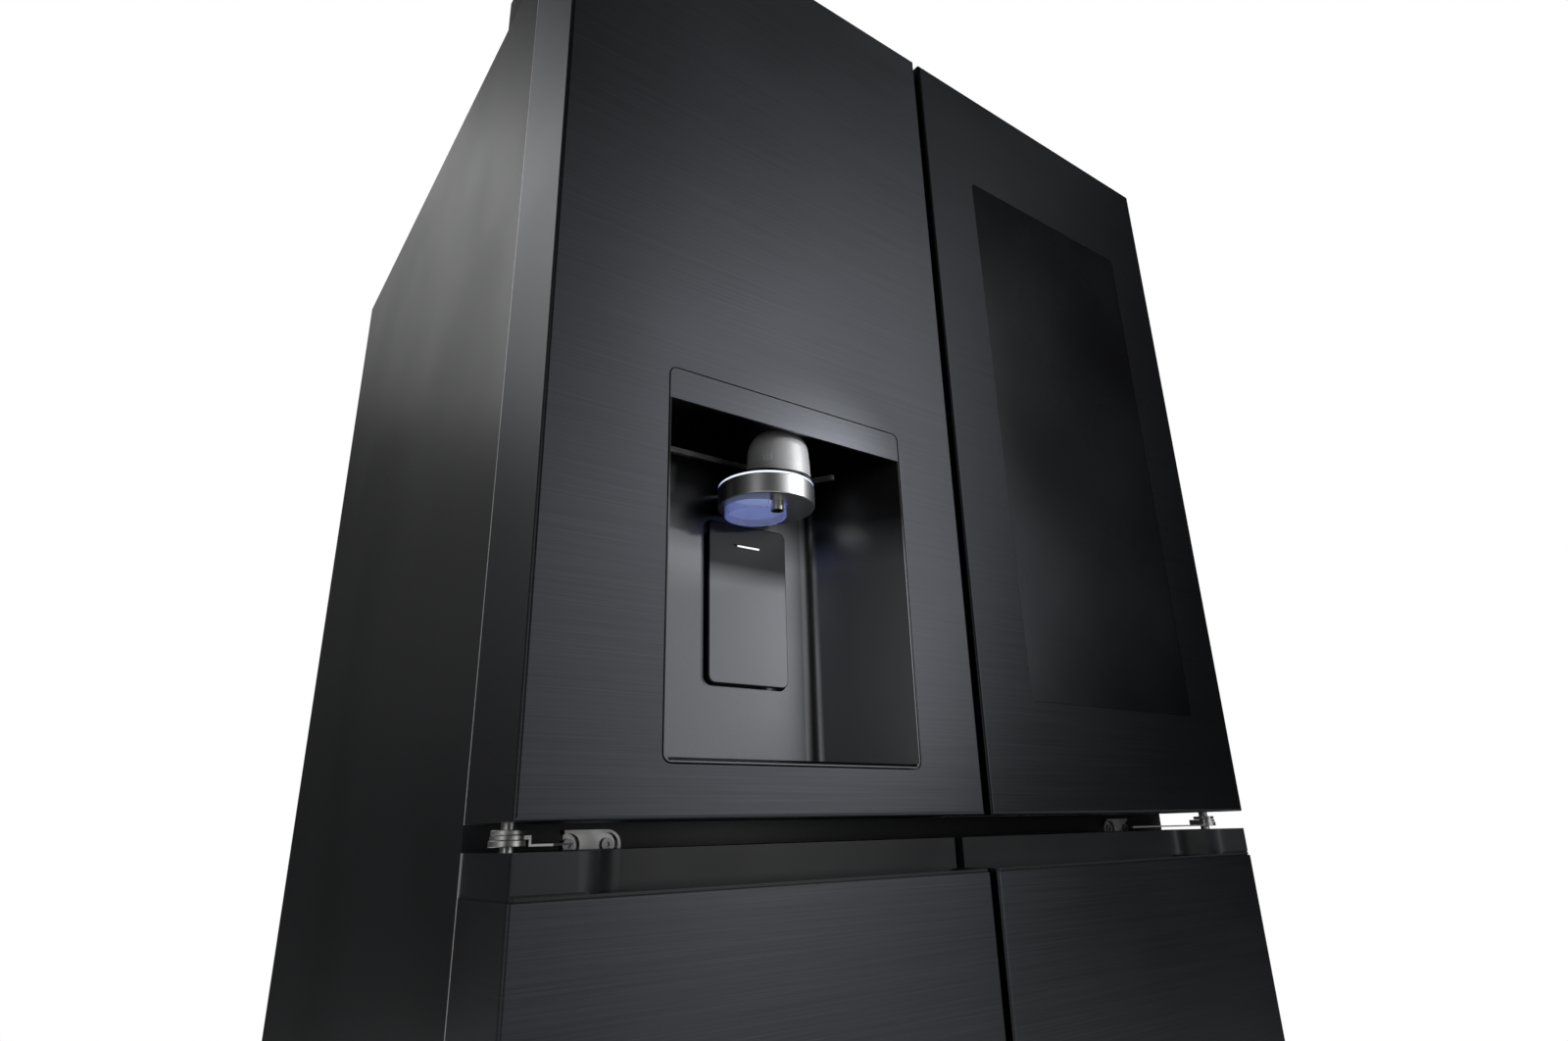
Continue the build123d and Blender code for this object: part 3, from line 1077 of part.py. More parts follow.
lower_core -= hinge_bore(LOWER_DOOR_BOTTOM, LOWER_DOOR_BOTTOM + pin_room, PIN_RADIUS + RUNNING_FIT)
lower_seal = seal_ring(
    seal_left, -PARTITION / 2 + 14, LOWER_DOOR_BOTTOM + 20, DIVIDER_BOTTOM + 18, DOOR_THICK, seal_back
)
for side, place in (("left", lambda shape: shape), ("right", mirrored)):
    parts["lower_" + side + "_skin"] = place(lower_skin)
    parts["lower_" + side + "_cap"] = place(cap)
    parts["lower_" + side + "_core"] = place(lower_core)
    parts["lower_" + side + "_gasket"] = place(lower_seal)

for name, shape in parts.items():
    export_step(shape, "parts/" + name + ".step")
print(len(parts), "nodes")
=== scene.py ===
import json
import math

import bmesh
import bpy
from mathutils import Matrix, Vector


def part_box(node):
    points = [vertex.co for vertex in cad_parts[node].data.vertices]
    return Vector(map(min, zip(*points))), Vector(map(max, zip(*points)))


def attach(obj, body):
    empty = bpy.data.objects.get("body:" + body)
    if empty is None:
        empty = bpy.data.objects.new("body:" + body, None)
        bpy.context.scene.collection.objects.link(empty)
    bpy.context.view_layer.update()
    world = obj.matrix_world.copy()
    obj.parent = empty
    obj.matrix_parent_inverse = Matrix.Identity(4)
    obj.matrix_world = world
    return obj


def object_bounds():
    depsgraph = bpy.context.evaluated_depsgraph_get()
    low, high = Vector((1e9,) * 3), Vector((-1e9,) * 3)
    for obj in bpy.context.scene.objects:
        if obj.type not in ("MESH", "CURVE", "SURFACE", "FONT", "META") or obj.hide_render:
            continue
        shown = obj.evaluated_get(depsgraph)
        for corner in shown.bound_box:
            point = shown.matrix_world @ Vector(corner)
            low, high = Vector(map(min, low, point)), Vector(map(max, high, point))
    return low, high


# French door refrigerator: looks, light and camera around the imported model.
# The frame: X across the front, -Y out of the front, +Z up, metres.

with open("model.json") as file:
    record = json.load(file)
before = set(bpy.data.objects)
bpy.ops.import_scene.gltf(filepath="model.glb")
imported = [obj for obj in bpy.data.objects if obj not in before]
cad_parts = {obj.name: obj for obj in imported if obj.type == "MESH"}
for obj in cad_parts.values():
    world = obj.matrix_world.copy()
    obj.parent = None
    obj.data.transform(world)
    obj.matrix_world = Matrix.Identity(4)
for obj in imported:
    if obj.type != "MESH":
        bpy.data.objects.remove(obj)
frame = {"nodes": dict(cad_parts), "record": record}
nodes = frame["nodes"]
cad_low, cad_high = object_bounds()
front_y = cad_low[1]

MM = 0.001


# ---- Node graph helpers ----------------------------------------------------------------
class Graph:
    """A material under construction: its node tree, its shader and short ways to add nodes."""

    def __init__(self, name):
        self.material = bpy.data.materials.new(name)
        self.material.use_nodes = True
        self.tree = self.material.node_tree
        self.shader = self.tree.nodes["Principled BSDF"]
        self.place = self.tree.nodes.new("ShaderNodeTexCoord").outputs["Object"]

    def set(self, **values):
        """Plain values on the shader's own sockets."""
        for label, value in values.items():
            self.shader.inputs[label.replace("_", " ")].default_value = value
        return self

    def stretch(self, scale):
        """Object coordinates scaled along each axis."""
        mapping = self.tree.nodes.new("ShaderNodeMapping")
        mapping.inputs["Scale"].default_value = scale
        self.tree.links.new(self.place, mapping.inputs["Vector"])
        return mapping.outputs["Vector"]

    def noise(self, scale, detail=3.0, rough=0.55, stretch=None):
        """Noise over the object; a stretch of (x, y, z) makes grain."""
        node = self.tree.nodes.new("ShaderNodeTexNoise")
        node.inputs["Scale"].default_value = scale
        node.inputs["Detail"].default_value = detail
        node.inputs["Roughness"].default_value = rough
        self.tree.links.new(self.stretch(stretch) if stretch else self.place, node.inputs["Vector"])
        return node.outputs["Fac"]

    def spread(self, value, low, high, start=0.3, end=0.7):
        """A value between start and end carried over to the range from low to high."""
        node = self.tree.nodes.new("ShaderNodeMapRange")
        for label, number in (("From Min", start), ("From Max", end), ("To Min", low), ("To Max", high)):
            node.inputs[label].default_value = number
        self.tree.links.new(value, node.inputs["Value"])
        return node.outputs["Result"]

    def colours(self, value, low, high, start=0.3, end=0.7):
        """A colour ramp driven by a value."""
        node = self.tree.nodes.new("ShaderNodeValToRGB")
        node.color_ramp.elements[0].position = start
        node.color_ramp.elements[1].position = end
        node.color_ramp.elements[0].color = (*low, 1.0)
        node.color_ramp.elements[1].color = (*high, 1.0)
        self.tree.links.new(value, node.inputs["Fac"])
        return node.outputs["Color"]

    def join(self, value, label):
        """A node's output into one of the shader's sockets."""
        self.tree.links.new(value, self.shader.inputs[label])
        return self

    def bump(self, value, strength, distance):
        """Fine relief, added to any relief already there."""
        node = self.tree.nodes.new("ShaderNodeBump")
        node.inputs["Strength"].default_value = strength
        node.inputs["Distance"].default_value = distance
        self.tree.links.new(value, node.inputs["Height"])
        if self.shader.inputs["Normal"].is_linked:
            previous = self.shader.inputs["Normal"].links[0].from_socket
            self.tree.links.new(previous, node.inputs["Normal"])
        self.tree.links.new(node.outputs["Normal"], self.shader.inputs["Normal"])
        return self


def shade(colour, factor):
    """A colour made lighter or darker."""
    return tuple(channel * factor for channel in colour)


# ---- Materials -------------------------------------------------------------------------
def brushed(name, colour, rough, contrast=0.16, grain=(6.0, 6.0, 1400.0), relief=0.10, streak=0.0):
    """Brushed metal: long fine lines, with slow cloudy changes in tone and gloss."""
    g = Graph(name)
    g.set(Metallic=1.0, Anisotropic=streak, Anisotropic_Rotation=0.25)
    if streak:
        around = g.tree.nodes.new("ShaderNodeTangent")
        around.direction_type = "RADIAL"
        around.axis = "Z"
        g.join(around.outputs["Tangent"], "Tangent")
    lines = g.noise(1.0, 4.0, 0.6, grain)
    clouds = g.noise(3.0, 2.0, 0.5)
    g.join(g.colours(lines, shade(colour, 1 - contrast), shade(colour, 1 + contrast)), "Base Color")
    mix = g.tree.nodes.new("ShaderNodeMath")
    mix.operation = "MULTIPLY_ADD"
    g.tree.links.new(lines, mix.inputs[0])
    mix.inputs[1].default_value = 0.5
    g.tree.links.new(clouds, mix.inputs[2])
    g.join(g.spread(mix.outputs[0], rough - 0.05, rough + 0.07, 0.45, 1.0), "Roughness")
    g.bump(lines, relief, 0.0002)
    return g.material


def moulded(name, colour, rough, texture=900.0, relief=0.06, gloss_change=0.05):
    """Moulded plastic: a fine even grain, with slow changes in gloss."""
    g = Graph(name)
    fine = g.noise(texture, 2.0, 0.6)
    slow = g.noise(7.0, 3.0, 0.5)
    g.join(g.colours(slow, shade(colour, 0.93), shade(colour, 1.07)), "Base Color")
    g.join(g.spread(slow, rough - gloss_change, rough + gloss_change), "Roughness")
    g.bump(fine, relief, 0.0002)
    return g.material


def painted(name, colour, rough, peel=260.0):
    """Powder-coated steel: slight orange peel."""
    g = Graph(name)
    g.set(Metallic=0.35, Coat_Weight=0.12, Coat_Roughness=0.3)
    peel_noise = g.noise(peel, 2.0, 0.5)
    slow = g.noise(4.0, 3.0, 0.5)
    g.join(g.colours(slow, shade(colour, 0.9), shade(colour, 1.1)), "Base Color")
    g.join(g.spread(slow, rough - 0.04, rough + 0.05), "Roughness")
    g.bump(peel_noise, 0.10, 0.0003)
    return g.material


def satin(name, colour, rough, metallic=0.3):
    """Satin metallic paint: a diffuse ground under a fine metal flake."""
    g = Graph(name)
    g.set(Metallic=metallic)
    flake = g.noise(2600.0, 2.0, 0.7)
    slow = g.noise(14.0, 2.0)
    g.join(g.colours(flake, shade(colour, 0.94), shade(colour, 1.06)), "Base Color")
    g.join(g.spread(slow, rough - 0.03, rough + 0.04), "Roughness")
    g.bump(flake, 0.03, 0.0001)
    return g.material


def plated(name, colour, rough, scale=420.0):
    """Zinc or nickel plate: faint mottling and tiny pits."""
    g = Graph(name)
    g.set(Metallic=1.0)
    mottle = g.noise(60.0, 4.0, 0.6)
    pits = g.noise(scale, 2.0, 0.6)
    g.join(g.colours(mottle, shade(colour, 0.8), shade(colour, 1.1)), "Base Color")
    g.join(g.spread(mottle, rough - 0.06, rough + 0.1), "Roughness")
    g.bump(pits, 0.12, 0.0002)
    return g.material


def spangled(name, colour, rough):
    """Galvanised sheet: crystal spangles."""
    g = Graph(name)
    g.set(Metallic=0.9)
    cells = g.tree.nodes.new("ShaderNodeTexVoronoi")
    cells.inputs["Scale"].default_value = 75.0
    g.tree.links.new(g.place, cells.inputs["Vector"])
    split = g.tree.nodes.new("ShaderNodeSeparateColor")
    g.tree.links.new(cells.outputs["Color"], split.inputs["Color"])
    tone = split.outputs["Red"]
    g.join(g.colours(tone, shade(colour, 0.8), shade(colour, 1.1), 0.0, 1.0), "Base Color")
    g.join(g.spread(tone, rough - 0.08, rough + 0.1, 0.0, 1.0), "Roughness")
    g.bump(g.noise(150.0), 0.05, 0.0003)
    return g.material


def foamed(name, colour):
    """Rigid foam: open cells and uneven colour."""
    g = Graph(name)
    cells = g.noise(420.0, 4.0, 0.7)
    g.join(g.colours(g.noise(9.0), shade(colour, 0.85), shade(colour, 1.08)), "Base Color")
    g.join(g.spread(cells, 0.8, 0.95), "Roughness")
    g.bump(cells, 0.5, 0.0008)
    return g.material


def rubbery(name, colour):
    """Soft sealing strip."""
    g = Graph(name)
    g.set(Sheen_Weight=0.15, Sheen_Roughness=0.5)
    slow = g.noise(25.0, 3.0)
    g.join(g.colours(slow, shade(colour, 0.8), shade(colour, 1.2)), "Base Color")
    g.join(g.spread(slow, 0.5, 0.66), "Roughness")
    g.bump(g.noise(1200.0), 0.08, 0.0002)
    return g.material


def clear(name, colour, rough, alpha_like=0.9, ior=1.45):
    """Clear or tinted glass and plastic, faintly uneven."""
    g = Graph(name)
    g.set(Transmission_Weight=alpha_like, IOR=ior)
    slow = g.noise(12.0, 2.0)
    g.join(g.colours(slow, shade(colour, 0.97), colour), "Base Color")
    g.join(g.spread(slow, rough, rough + 0.03), "Roughness")
    return g.material


def painted_top_shade(name, colour, rough, start, end, top_shade):
    """Metallic surface whose colour darkens towards the top as painted shade; start and end are shares of the
    height.
    """
    g = Graph(name)
    g.set(Metallic=1.0)
    whole = g.tree.nodes.new("ShaderNodeTexCoord")
    split = g.tree.nodes.new("ShaderNodeSeparateXYZ")
    g.tree.links.new(whole.outputs["Generated"], split.inputs["Vector"])
    # painted shade: the base colour darkens towards the top of the part
    painted_shade = g.colours(split.outputs["Z"], colour, shade(colour, top_shade), start, end)
    cloud = g.colours(g.noise(900.0, 2.0, 0.6), (0.95, 0.95, 0.95), (1.05, 1.05, 1.05))
    blend = g.tree.nodes.new("ShaderNodeVectorMath")
    blend.operation = "MULTIPLY"
    g.tree.links.new(painted_shade, blend.inputs[0])
    g.tree.links.new(cloud, blend.inputs[1])
    g.join(blend.outputs["Vector"], "Base Color")
    g.join(g.spread(g.noise(7.0, 3.0), rough - 0.03, rough + 0.04), "Roughness")
    g.bump(g.noise(1100.0, 2.0), 0.03, 0.0002)
    return g.material


def lit(name, colour, strength, body=(0.9, 0.95, 1.0)):
    """A lit diffuser; the glow is slightly uneven."""
    g = Graph(name)
    g.set(Emission_Color=(*colour, 1.0), Emission_Strength=strength)
    slow = g.noise(40.0, 2.0)
    g.join(g.colours(slow, shade(body, 0.95), body), "Base Color")
    g.join(g.spread(slow, 0.25, 0.35), "Roughness")
    return g.material


def rim_blend(g, centre_value, rim_value, blend=0.35):
    """A value that changes from where a surface faces the eye to where it turns away."""
    weight = g.tree.nodes.new("ShaderNodeLayerWeight")
    weight.inputs["Blend"].default_value = blend
    return g.spread(weight.outputs["Facing"], centre_value, rim_value, 0.0, 1.0)


def halo(name):
    """The lit ring: white ahead, blue where it turns away."""
    g = Graph(name)
    weight = g.tree.nodes.new("ShaderNodeLayerWeight")
    weight.inputs["Blend"].default_value = 0.4
    tint = g.colours(weight.outputs["Facing"], (0.9, 0.95, 1.0), (0.12, 0.2, 0.9), 0.35, 0.95)
    g.join(tint, "Emission Color")
    g.join(rim_blend(g, 1.1, 0.55), "Emission Strength")
    g.join(g.spread(g.noise(40.0), 0.3, 0.4), "Roughness")
    g.set(Base_Color=(0.3, 0.32, 0.36, 1.0))
    return g.material


def glowing_clear(name):
    """Clear plastic lit from inside: pale ahead and blue-violet at its edges."""
    g = Graph(name)
    g.set(Transmission_Weight=0.72, IOR=1.45)
    weight = g.tree.nodes.new("ShaderNodeLayerWeight")
    weight.inputs["Blend"].default_value = 0.5
    tint = g.colours(weight.outputs["Facing"], (0.62, 0.70, 1.0), (0.16, 0.18, 0.75), 0.2, 0.9)
    g.join(tint, "Emission Color")
    g.join(rim_blend(g, 0.05, 0.10), "Emission Strength")
    g.join(g.colours(g.noise(60.0), (0.50, 0.58, 0.92), (0.62, 0.70, 1.0)), "Base Color")
    g.join(g.spread(g.noise(30.0), 0.12, 0.2), "Roughness")
    return g.material


BLACK_STEEL = (0.082, 0.086, 0.096)
materials = {
    "black_steel": brushed("black_steel", BLACK_STEEL, 0.38, streak=0.6),
    # right_steel: the same steel as black_steel at 0.62 brightness, painted shade on the right doors' outer
    # skin
    "right_steel": brushed("right_steel", shade(BLACK_STEEL, 0.62), 0.38, streak=0.6),
    "case_paint": painted("case_paint", (0.030, 0.032, 0.036), 0.42),
    "rail_paint": painted("rail_paint", (0.022, 0.023, 0.026), 0.38),
    "galvanised": spangled("galvanised", (0.42, 0.43, 0.45), 0.42),
    "foam": foamed("foam", (0.80, 0.72, 0.50)),
    "liner_white": moulded("liner_white", (0.80, 0.82, 0.84), 0.32, 700.0, 0.03),
    "clear_plastic": clear("clear_plastic", (0.90, 0.94, 0.96), 0.08, 0.92, 1.49),
    "shelf_glass": clear("shelf_glass", (0.86, 0.95, 0.92), 0.02, 0.95, 1.5),
    # window_glass: dark tinted glass, its colour also lowered by the same painted shade as right_steel
    "window_glass": brushed("window_glass", (0.050, 0.052, 0.058), 0.24, 0.05, (4.0, 4.0, 4.0), 0.0),
    "seal_grey": rubbery("seal_grey", (0.05, 0.051, 0.054)),
    "bright_steel": plated("bright_steel", (0.86, 0.85, 0.84), 0.38),
    "screw_steel": plated("screw_steel", (0.42, 0.42, 0.43), 0.32),
    "cover_plastic": moulded("cover_plastic", (0.022, 0.023, 0.025), 0.5),
    "cap_plastic": moulded("cap_plastic", (0.030, 0.032, 0.036), 0.36, 1200.0, 0.04),
    # recess_black: painted shade darkens the upper part of the dispenser recess
    "recess_black": painted_top_shade("recess_black", (0.135, 0.138, 0.148), 0.30, 0.60, 0.74, 0.16),
    "dome_satin": satin("dome_satin", (0.66, 0.665, 0.68), 0.42),
    "disk_metal": satin("disk_metal", (0.74, 0.75, 0.76), 0.33, 1.0),
    "halo_light": halo("halo_light"),
    "chute_clear": glowing_clear("chute_clear"),
    "spout_steel": plated("spout_steel", (0.50, 0.50, 0.46), 0.22),
    "accent_chrome": plated("accent_chrome", (0.90, 0.90, 0.92), 0.36),
    "base_zinc": plated("base_zinc", (0.30, 0.31, 0.32), 0.45),
    "leg_plastic": moulded("leg_plastic", (0.03, 0.03, 0.032), 0.5),
    "roller_nylon": moulded("roller_nylon", (0.10, 0.10, 0.10), 0.45),
    "compressor_paint": painted("compressor_paint", (0.012, 0.012, 0.014), 0.28),
    "fin_aluminium": plated("fin_aluminium", (0.62, 0.64, 0.66), 0.36),
    "fan_plastic": moulded("fan_plastic", (0.05, 0.05, 0.055), 0.4),
    "valve_plastic": moulded("valve_plastic", (0.72, 0.72, 0.68), 0.4),
    "floor_paint": lit("floor_paint", (1.0, 1.0, 1.0), 0.35, (0.80, 0.80, 0.80)),
    "glow": lit("glow", (0.72, 0.80, 1.0), 0.40, (0.25, 0.28, 0.4)),
    "ceiling_light": lit("ceiling_light", (1.0, 0.98, 0.94), 1.2),
    "icon_ink": moulded("icon_ink", (0.85, 0.86, 0.88), 0.4),
    "dark_ink": moulded("dark_ink", (0.02, 0.02, 0.022), 0.5),
    "slot_metal": plated("slot_metal", (0.75, 0.75, 0.77), 0.3),
}


def from_build(name, build, *slots):
    """A new object from bmesh data, with one material for each slot named."""
    bmesh.ops.recalc_face_normals(build, faces=build.faces)
    mesh = bpy.data.meshes.new(name)
    build.to_mesh(mesh)
    build.free()
    obj = bpy.data.objects.new(name, mesh)
    bpy.context.scene.collection.objects.link(obj)
    for slot_name in slots:
        mesh.materials.append(materials[slot_name])
    return obj


def add_box(build, low, high, material=0):
    """A box between two corners."""
    xs, ys, zs = zip(low, high)
    verts = [build.verts.new((x, y, z)) for x in xs for y in ys for z in zs]
    for quad in ((0, 1, 3, 2), (4, 6, 7, 5), (0, 4, 5, 1), (2, 3, 7, 6), (0, 2, 6, 4), (1, 5, 7, 3)):
        build.faces.new([verts[i] for i in quad]).material_index = material


def add_tube(build, points, radius, sides=10, material=0, closed=False):
    """A round bar along a line of points, with its ends closed."""
    points = [Vector(point) for point in points]
    count = len(points)
    rings = []
    side = None
    for index, point in enumerate(points):
        before = points[index - 1] if index or closed else point
        after = points[(index + 1) % count] if index < count - 1 or closed else point
        along = (after - before).normalized()
        if side is None:
            side = along.orthogonal().normalized()
        side = (side - along * side.dot(along)).normalized()
        up = along.cross(side)
        ring = []
        for step in range(sides):
            angle = 2 * math.pi * step / sides
            ring.append(build.verts.new(point + radius * (math.cos(angle) * side + math.sin(angle) * up)))
        rings.append(ring)
    spans = list(zip(rings, rings[1:])) + ([(rings[-1], rings[0])] if closed else [])
    for first, second in spans:
        for step in range(sides):
            after = (step + 1) % sides
            face = build.faces.new((first[step], first[after], second[after], second[step]))
            face.material_index = material
            face.smooth = True
    if not closed:
        build.faces.new(rings[0][::-1]).material_index = material
        build.faces.new(rings[-1]).material_index = material


def add_lathe(build, centre, profile, sides=64, start=0.0, sweep=2 * math.pi, material=0):
    """A turned band about a vertical axis: a closed outline of (radius, height) points."""
    whole = abs(sweep - 2 * math.pi) < 1e-6
    steps = sides if whole else sides + 1
    rings = []
    for step in range(steps):
        angle = start + sweep * step / sides
        ring = [
            build.verts.new((
                centre[0] + radius * math.cos(angle), centre[1] + radius * math.sin(angle), centre[2] + height
            ))
            for radius, height in profile
        ]
        rings.append(ring)
    spans = list(zip(rings, rings[1:])) + ([(rings[-1], rings[0])] if whole else [])
    for first, second in spans:
        for index in range(len(profile)):
            after = (index + 1) % len(profile)
            face = build.faces.new((first[index], first[after], second[after], second[index]))
            face.material_index = material
            face.smooth = True
    if not whole:
        build.faces.new(rings[0][::-1]).material_index = material
        build.faces.new(rings[-1]).material_index = material


def soften(obj, width, segments=3):
    """A bevel on an object's edges."""
    bevel = obj.modifiers.new("bevel", "BEVEL")
    bevel.width = width
    bevel.segments = segments
    bevel.limit_method = "ANGLE"
    return obj


for entry in frame["record"]["subparts"]:
    node = nodes[entry["node"]]
    for index in range(len(node.data.materials)):
        node.data.materials[index] = materials[entry["material_slot"]]
    if not node.data.materials:
        node.data.materials.append(materials[entry["material_slot"]])

# ---- Nozzle: light in the chute, icons on the dome, a collar and the paddle's bar ----------
disk_low, disk_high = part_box("nozzle_disk")
chute_low, chute_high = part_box("ice_chute")
dome_low, dome_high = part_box("nozzle_dome")
nozzle_x = (disk_low[0] + disk_high[0]) / 2
dome_x = (dome_low[0] + dome_high[0]) / 2
dome_y = (dome_low[1] + dome_high[1]) / 2
chute_radius = (chute_high[0] - chute_low[0]) / 2
chute_centre = ((chute_low[0] + chute_high[0]) / 2, chute_low[1] + chute_radius)
CHUTE_WALL = 2.6 * MM
LAMP_GAP = 0.3 * MM
LAMP_BELOW_TOP = 0.2 * MM
LAMP_THICK = 1.5 * MM
LAMP_HOLE = 0.2 * MM
LAMP_SIDES = 48

lamp = bmesh.new()
bore = chute_radius - CHUTE_WALL - LAMP_GAP
lamp_section = [(LAMP_HOLE, 0.0), (bore, 0.0), (bore, -LAMP_THICK), (LAMP_HOLE, -LAMP_THICK)]
add_lathe(lamp, (*chute_centre, chute_high[2] - LAMP_BELOW_TOP), lamp_section, LAMP_SIDES)
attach(from_build("chute_lamp", lamp, "glow"), "left_door")

# A generic tumbler with four cubes, a second glass and two dashes, on the side of the dome
dome_reach = (dome_high[0] - dome_low[0]) / 2
dome_height = dome_high[2] - dome_low[2]
DOME_NARROWING = 4.0 * MM
DOME_SLOPE = DOME_NARROWING / dome_height
MARK_RADIUS = 0.32 * MM
MARK_STEPS = 4
MARK_SIDES = 6


def on_dome(turn, height, lift=0.05 * MM):
    """A point on the dome: a turn in degrees from straight ahead and a height above its foot."""
    radius = dome_reach - DOME_SLOPE * height + lift
    angle = math.radians(turn)
    return (dome_x + radius * math.sin(angle), dome_y - radius * math.cos(angle), dome_low[2] + height)


def dome_mark(build, turn, height, outline, size, closed=False):
    """A fine raised line on the dome; the outline's units are icon widths."""
    places = []
    ends = outline + outline[:1] if closed else outline
    for (u0, v0), (u1, v1) in zip(ends, ends[1:]):
        for step in range(MARK_STEPS):
            part = step / MARK_STEPS
            places.append((u0 + (u1 - u0) * part, v0 + (v1 - v0) * part))
    if not closed:
        places.append(outline[-1])
    points = [on_dome(turn + math.degrees(u * size / dome_reach), height + v * size) for u, v in places]
    add_tube(build, points, MARK_RADIUS, MARK_SIDES, closed=closed)


TUMBLER = [(-0.62, 0.62), (-0.5, 0.62), (-0.36, -0.62), (0.36, -0.62), (0.5, 0.62), (0.62, 0.62)]
CUBE = [(-0.17, -0.12), (0.12, -0.17), (0.17, 0.12), (-0.12, 0.17)]
ICON_SIZE = 10.5 * MM
ICON_TURN = -55.0
SECOND_TURN = -5.0
ICON_HEIGHT = 19.0 * MM
SECOND_HEIGHT = ICON_HEIGHT - 2.0 * MM
CUBE_PLACES = ((-0.12, -0.36), (0.14, -0.12), (-0.10, 0.14), (0.2, 0.4))
SECOND = [(-0.42, 0.5), (-0.32, -0.5), (0.32, -0.5), (0.42, 0.5)]
LEVEL = [(-0.3, 0.1), (0.0, 0.2), (0.3, 0.1)]
DASH = [(-0.2, 0.0), (0.2, 0.0)]
SHORT_DASH = [(-0.12, 0.0), (0.12, 0.0)]

marks = bmesh.new()
dome_mark(marks, ICON_TURN, ICON_HEIGHT, TUMBLER, ICON_SIZE)
for du, dv in CUBE_PLACES:
    cube = [(u + du, v + dv) for u, v in CUBE]
    dome_mark(marks, ICON_TURN, ICON_HEIGHT, cube, ICON_SIZE, closed=True)
dome_mark(marks, SECOND_TURN, SECOND_HEIGHT, SECOND, ICON_SIZE)
dome_mark(marks, SECOND_TURN, SECOND_HEIGHT, LEVEL, ICON_SIZE)
dome_mark(marks, ICON_TURN, ICON_HEIGHT + 12.0 * MM, DASH, ICON_SIZE)
dome_mark(marks, SECOND_TURN, ICON_HEIGHT + 10.0 * MM, SHORT_DASH, ICON_SIZE)
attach(from_build("dome_icons", marks, "icon_ink"), "left_door")

# Dark collar round the dome's foot
COLLAR_FOOT = 0.1 * MM
COLLAR_TOP = 1.6 * MM
COLLAR_SIDES = 64
collar_in = dome_reach - 1.0 * MM
collar_out = dome_reach + 0.7 * MM
collar_section = [
    (collar_in, COLLAR_FOOT), (collar_out, COLLAR_FOOT), (collar_out, COLLAR_TOP), (collar_in, COLLAR_TOP)
]
collar = bmesh.new()
add_lathe(collar, (dome_x, dome_y, dome_low[2]), collar_section, COLLAR_SIDES)
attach(from_build("dome_collar", collar, "dark_ink"), "left_door")

# A bright bar near the paddle's top
BAR_HALF = 12.6 * MM
BAR_HALF_HEIGHT = 1.0 * MM
BAR_PROUD = 0.25 * MM
BAR_DEEP = 1.2 * MM
BAR_DROP = 21.8 * MM
paddle_low, paddle_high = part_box("dispenser_paddle")
paddle_x = (paddle_low[0] + paddle_high[0]) / 2
slot_z = paddle_high[2] - BAR_DROP
bar = bmesh.new()
add_box(
    bar, (paddle_x - BAR_HALF, paddle_low[1] - BAR_PROUD, slot_z - BAR_HALF_HEIGHT),
    (paddle_x + BAR_HALF, paddle_low[1] + BAR_DEEP, slot_z + BAR_HALF_HEIGHT)
)
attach(soften(from_build("paddle_bar", bar, "slot_metal"), 0.2 * MM), "dispenser_paddle")

# ---- Inside the fridge: two lit diffusers under the ceiling ----------------------------------
LIGHT_HALF = 0.13
LIGHT_FROM_CENTRE = 0.2
LIGHT_FRONT = 0.16
LIGHT_BACK = 0.22
LIGHT_BOTTOM = 7 * MM
LIGHT_TOP = 1.6 * MM
liner_low, liner_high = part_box("fridge_liner")
ceiling = bmesh.new()
for side in (-1, 1):
    middle = side * LIGHT_FROM_CENTRE
    add_box(
        ceiling, (middle - LIGHT_HALF, liner_low[1] + LIGHT_FRONT, liner_high[2] - LIGHT_BOTTOM),
        (middle + LIGHT_HALF, liner_low[1] + LIGHT_BACK, liner_high[2] - LIGHT_TOP)
    )
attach(soften(from_build("ceiling_lights", ceiling, "ceiling_light"), 2 * MM), "cabinet")

# ---- Camera: low and left of the centre, looking up and to the right --------------------
CAMERA_LEFT = 0.66794
CAMERA_AHEAD = 0.59937
CAMERA_HEIGHT = 0.84797
CAMERA_YAW = 36.169
CAMERA_PITCH = 19.497
CAMERA_ROLL = -1.536
CAMERA_LENS = 20.294

camera_data = bpy.data.cameras.new("camera")
camera_data.sensor_width = 36.0
camera_data.lens = CAMERA_LENS
camera_data.clip_start = 0.02
camera = bpy.data.objects.new("camera", camera_data)
bpy.context.scene.collection.objects.link(camera)
turn = Matrix.Rotation(math.radians(-CAMERA_YAW), 4, "Z")
turn = turn @ Matrix.Rotation(math.radians(90 + CAMERA_PITCH), 4, "X")
turn = turn @ Matrix.Rotation(math.radians(CAMERA_ROLL), 4, "Z")
camera.matrix_world = Matrix.Translation((-CAMERA_LEFT, front_y - CAMERA_AHEAD, CAMERA_HEIGHT)) @ turn
bpy.context.scene.camera = camera

# ---- Light and floor -------------------------------------------------------------------
def softbox(name, place, target, width, height, power, colour=(1.0, 1.0, 1.0)):
    """A large soft lamp aimed at a point."""
    data = bpy.data.lights.new(name, "AREA")
    data.shape = "RECTANGLE"
    data.size = width
    data.size_y = height
    data.energy = power
    data.color = colour
    lamp = bpy.data.objects.new(name, data)
    bpy.context.scene.collection.objects.link(lamp)
    lamp.location = place
    lamp.rotation_euler = (Vector(target) - Vector(place)).to_track_quat("-Z", "Y").to_euler()
    return lamp


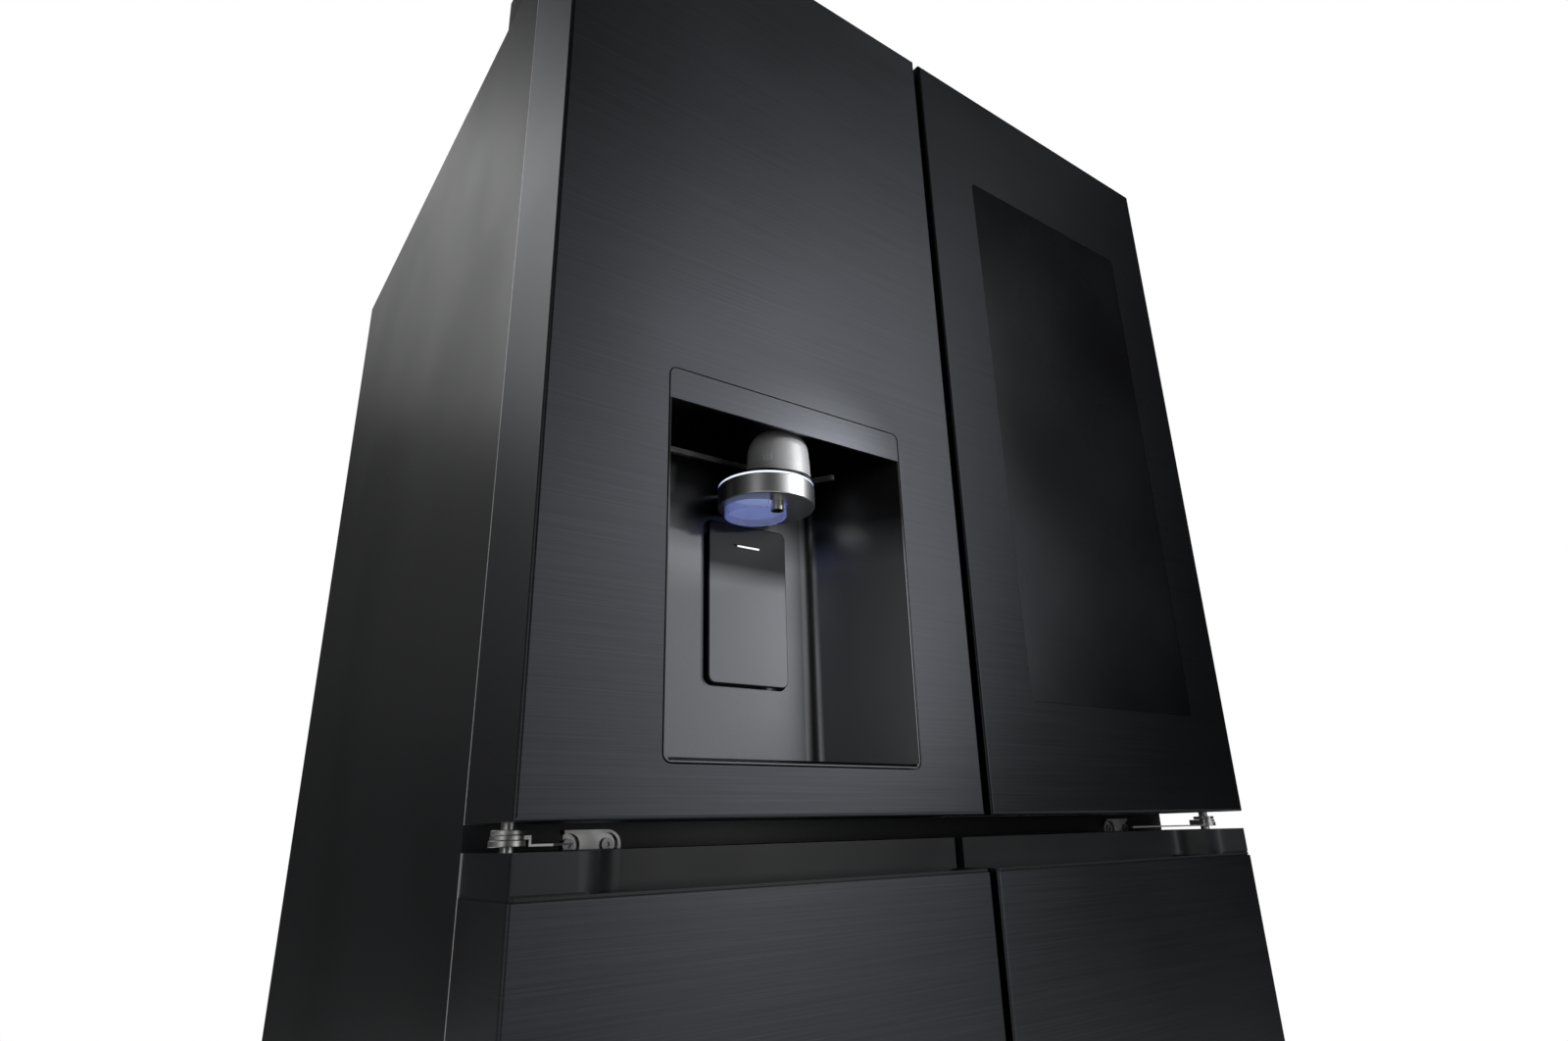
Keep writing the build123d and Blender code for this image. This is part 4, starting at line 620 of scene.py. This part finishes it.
def world_light(seen, lit_by):
    """A white surround for the camera, with a dimmer one to light the object."""
    world = bpy.data.worlds.new("studio")
    world.use_nodes = True
    tree = world.node_tree
    background = tree.nodes["Background"]
    path = tree.nodes.new("ShaderNodeLightPath")
    mix = tree.nodes.new("ShaderNodeMapRange")
    mix.inputs["To Min"].default_value = lit_by
    mix.inputs["To Max"].default_value = seen
    tree.links.new(path.outputs["Is Camera Ray"], mix.inputs["Value"])
    tree.links.new(mix.outputs["Result"], background.inputs["Strength"])
    background.inputs["Color"].default_value = (1.0, 1.0, 1.0, 1.0)
    bpy.context.scene.world = world


# Each lamp: how far right of straight ahead and how high, seen from the camera's mirror image
# behind the doors' front plane, then width, height and power
MIRROR_EYE = Vector((-CAMERA_LEFT, front_y + CAMERA_AHEAD, CAMERA_HEIGHT))
LAMP_RANGE = 2.6
front_lamps = (
    ("upper_left", 22, 32, 0.6, 0.6, 0.72),
    ("upper_middle", 32, 28, 0.5, 0.6, 2.0),
    ("upper_right", 42, 26, 0.5, 0.6, 1.75),
    ("middle_left", 20, 14, 0.6, 0.6, 1.2),
    ("middle", 32, 12, 0.5, 0.6, 0.9),
    ("middle_right", 43, 12, 0.4, 0.6, 2.8),
    ("low", 32, 0, 0.6, 0.5, 1.2),
    ("far_left", -75, 18, 1.2, 1.2, 0.9),
    ("left", -40, 10, 0.8, 1.2, 3.7),
)
AIM = (-0.2, front_y, 1.1)
world_light(1.0, 0.02)
for name, azimuth, elevation, width, height, power in front_lamps:
    east, up = math.radians(azimuth), math.radians(elevation)
    away = Vector((math.sin(east) * math.cos(up), -math.cos(east) * math.cos(up), math.sin(up)))
    softbox(name, MIRROR_EYE + LAMP_RANGE * away, AIM, width, height, power)
softbox("behind_left", (-2.0, 2.2, 2.0), AIM, 1.2, 1.6, 1.3)
softbox("behind_left_high", (-1.4, 2.4, 3.2), AIM, 1.2, 1.2, 1.0)
softbox("wash_right", (1.9, 2.2, 3.4), (0.3, 0.6, 0.6), 1.6, 1.6, 26.0)
softbox("wash_left", (-2.0, 2.4, 3.5), (-0.3, 0.6, 0.5), 1.6, 1.6, 12.0)


def spot(name, place, target, degrees, power, radius):
    """A soft-edged spot on a small area."""
    data = bpy.data.lights.new(name, "SPOT")
    data.spot_size = math.radians(degrees)
    data.spot_blend = 0.5
    data.shadow_soft_size = radius
    data.energy = power
    lamp = bpy.data.objects.new(name, data)
    bpy.context.scene.collection.objects.link(lamp)
    lamp.location = place
    lamp.rotation_euler = (Vector(target) - Vector(place)).to_track_quat("-Z", "Y").to_euler()
    return lamp


spot("nozzle", (0.72, -1.45, 1.42), (nozzle_x + 0.01, disk_low[1], disk_high[2] + 0.018), 4.6, 55.0, 0.05)
bpy.context.scene.view_settings.view_transform = "Standard"

FLOOR_RADIUS = 2.7
FLOOR_SIDES = 96
floor_build = bmesh.new()
turns = [2 * math.pi * step / FLOOR_SIDES for step in range(FLOOR_SIDES)]
rim = [floor_build.verts.new((FLOOR_RADIUS * math.cos(t), FLOOR_RADIUS * math.sin(t), 0.0)) for t in turns]
floor_build.faces.new(rim)
floor = from_build("floor", floor_build, "floor_paint")
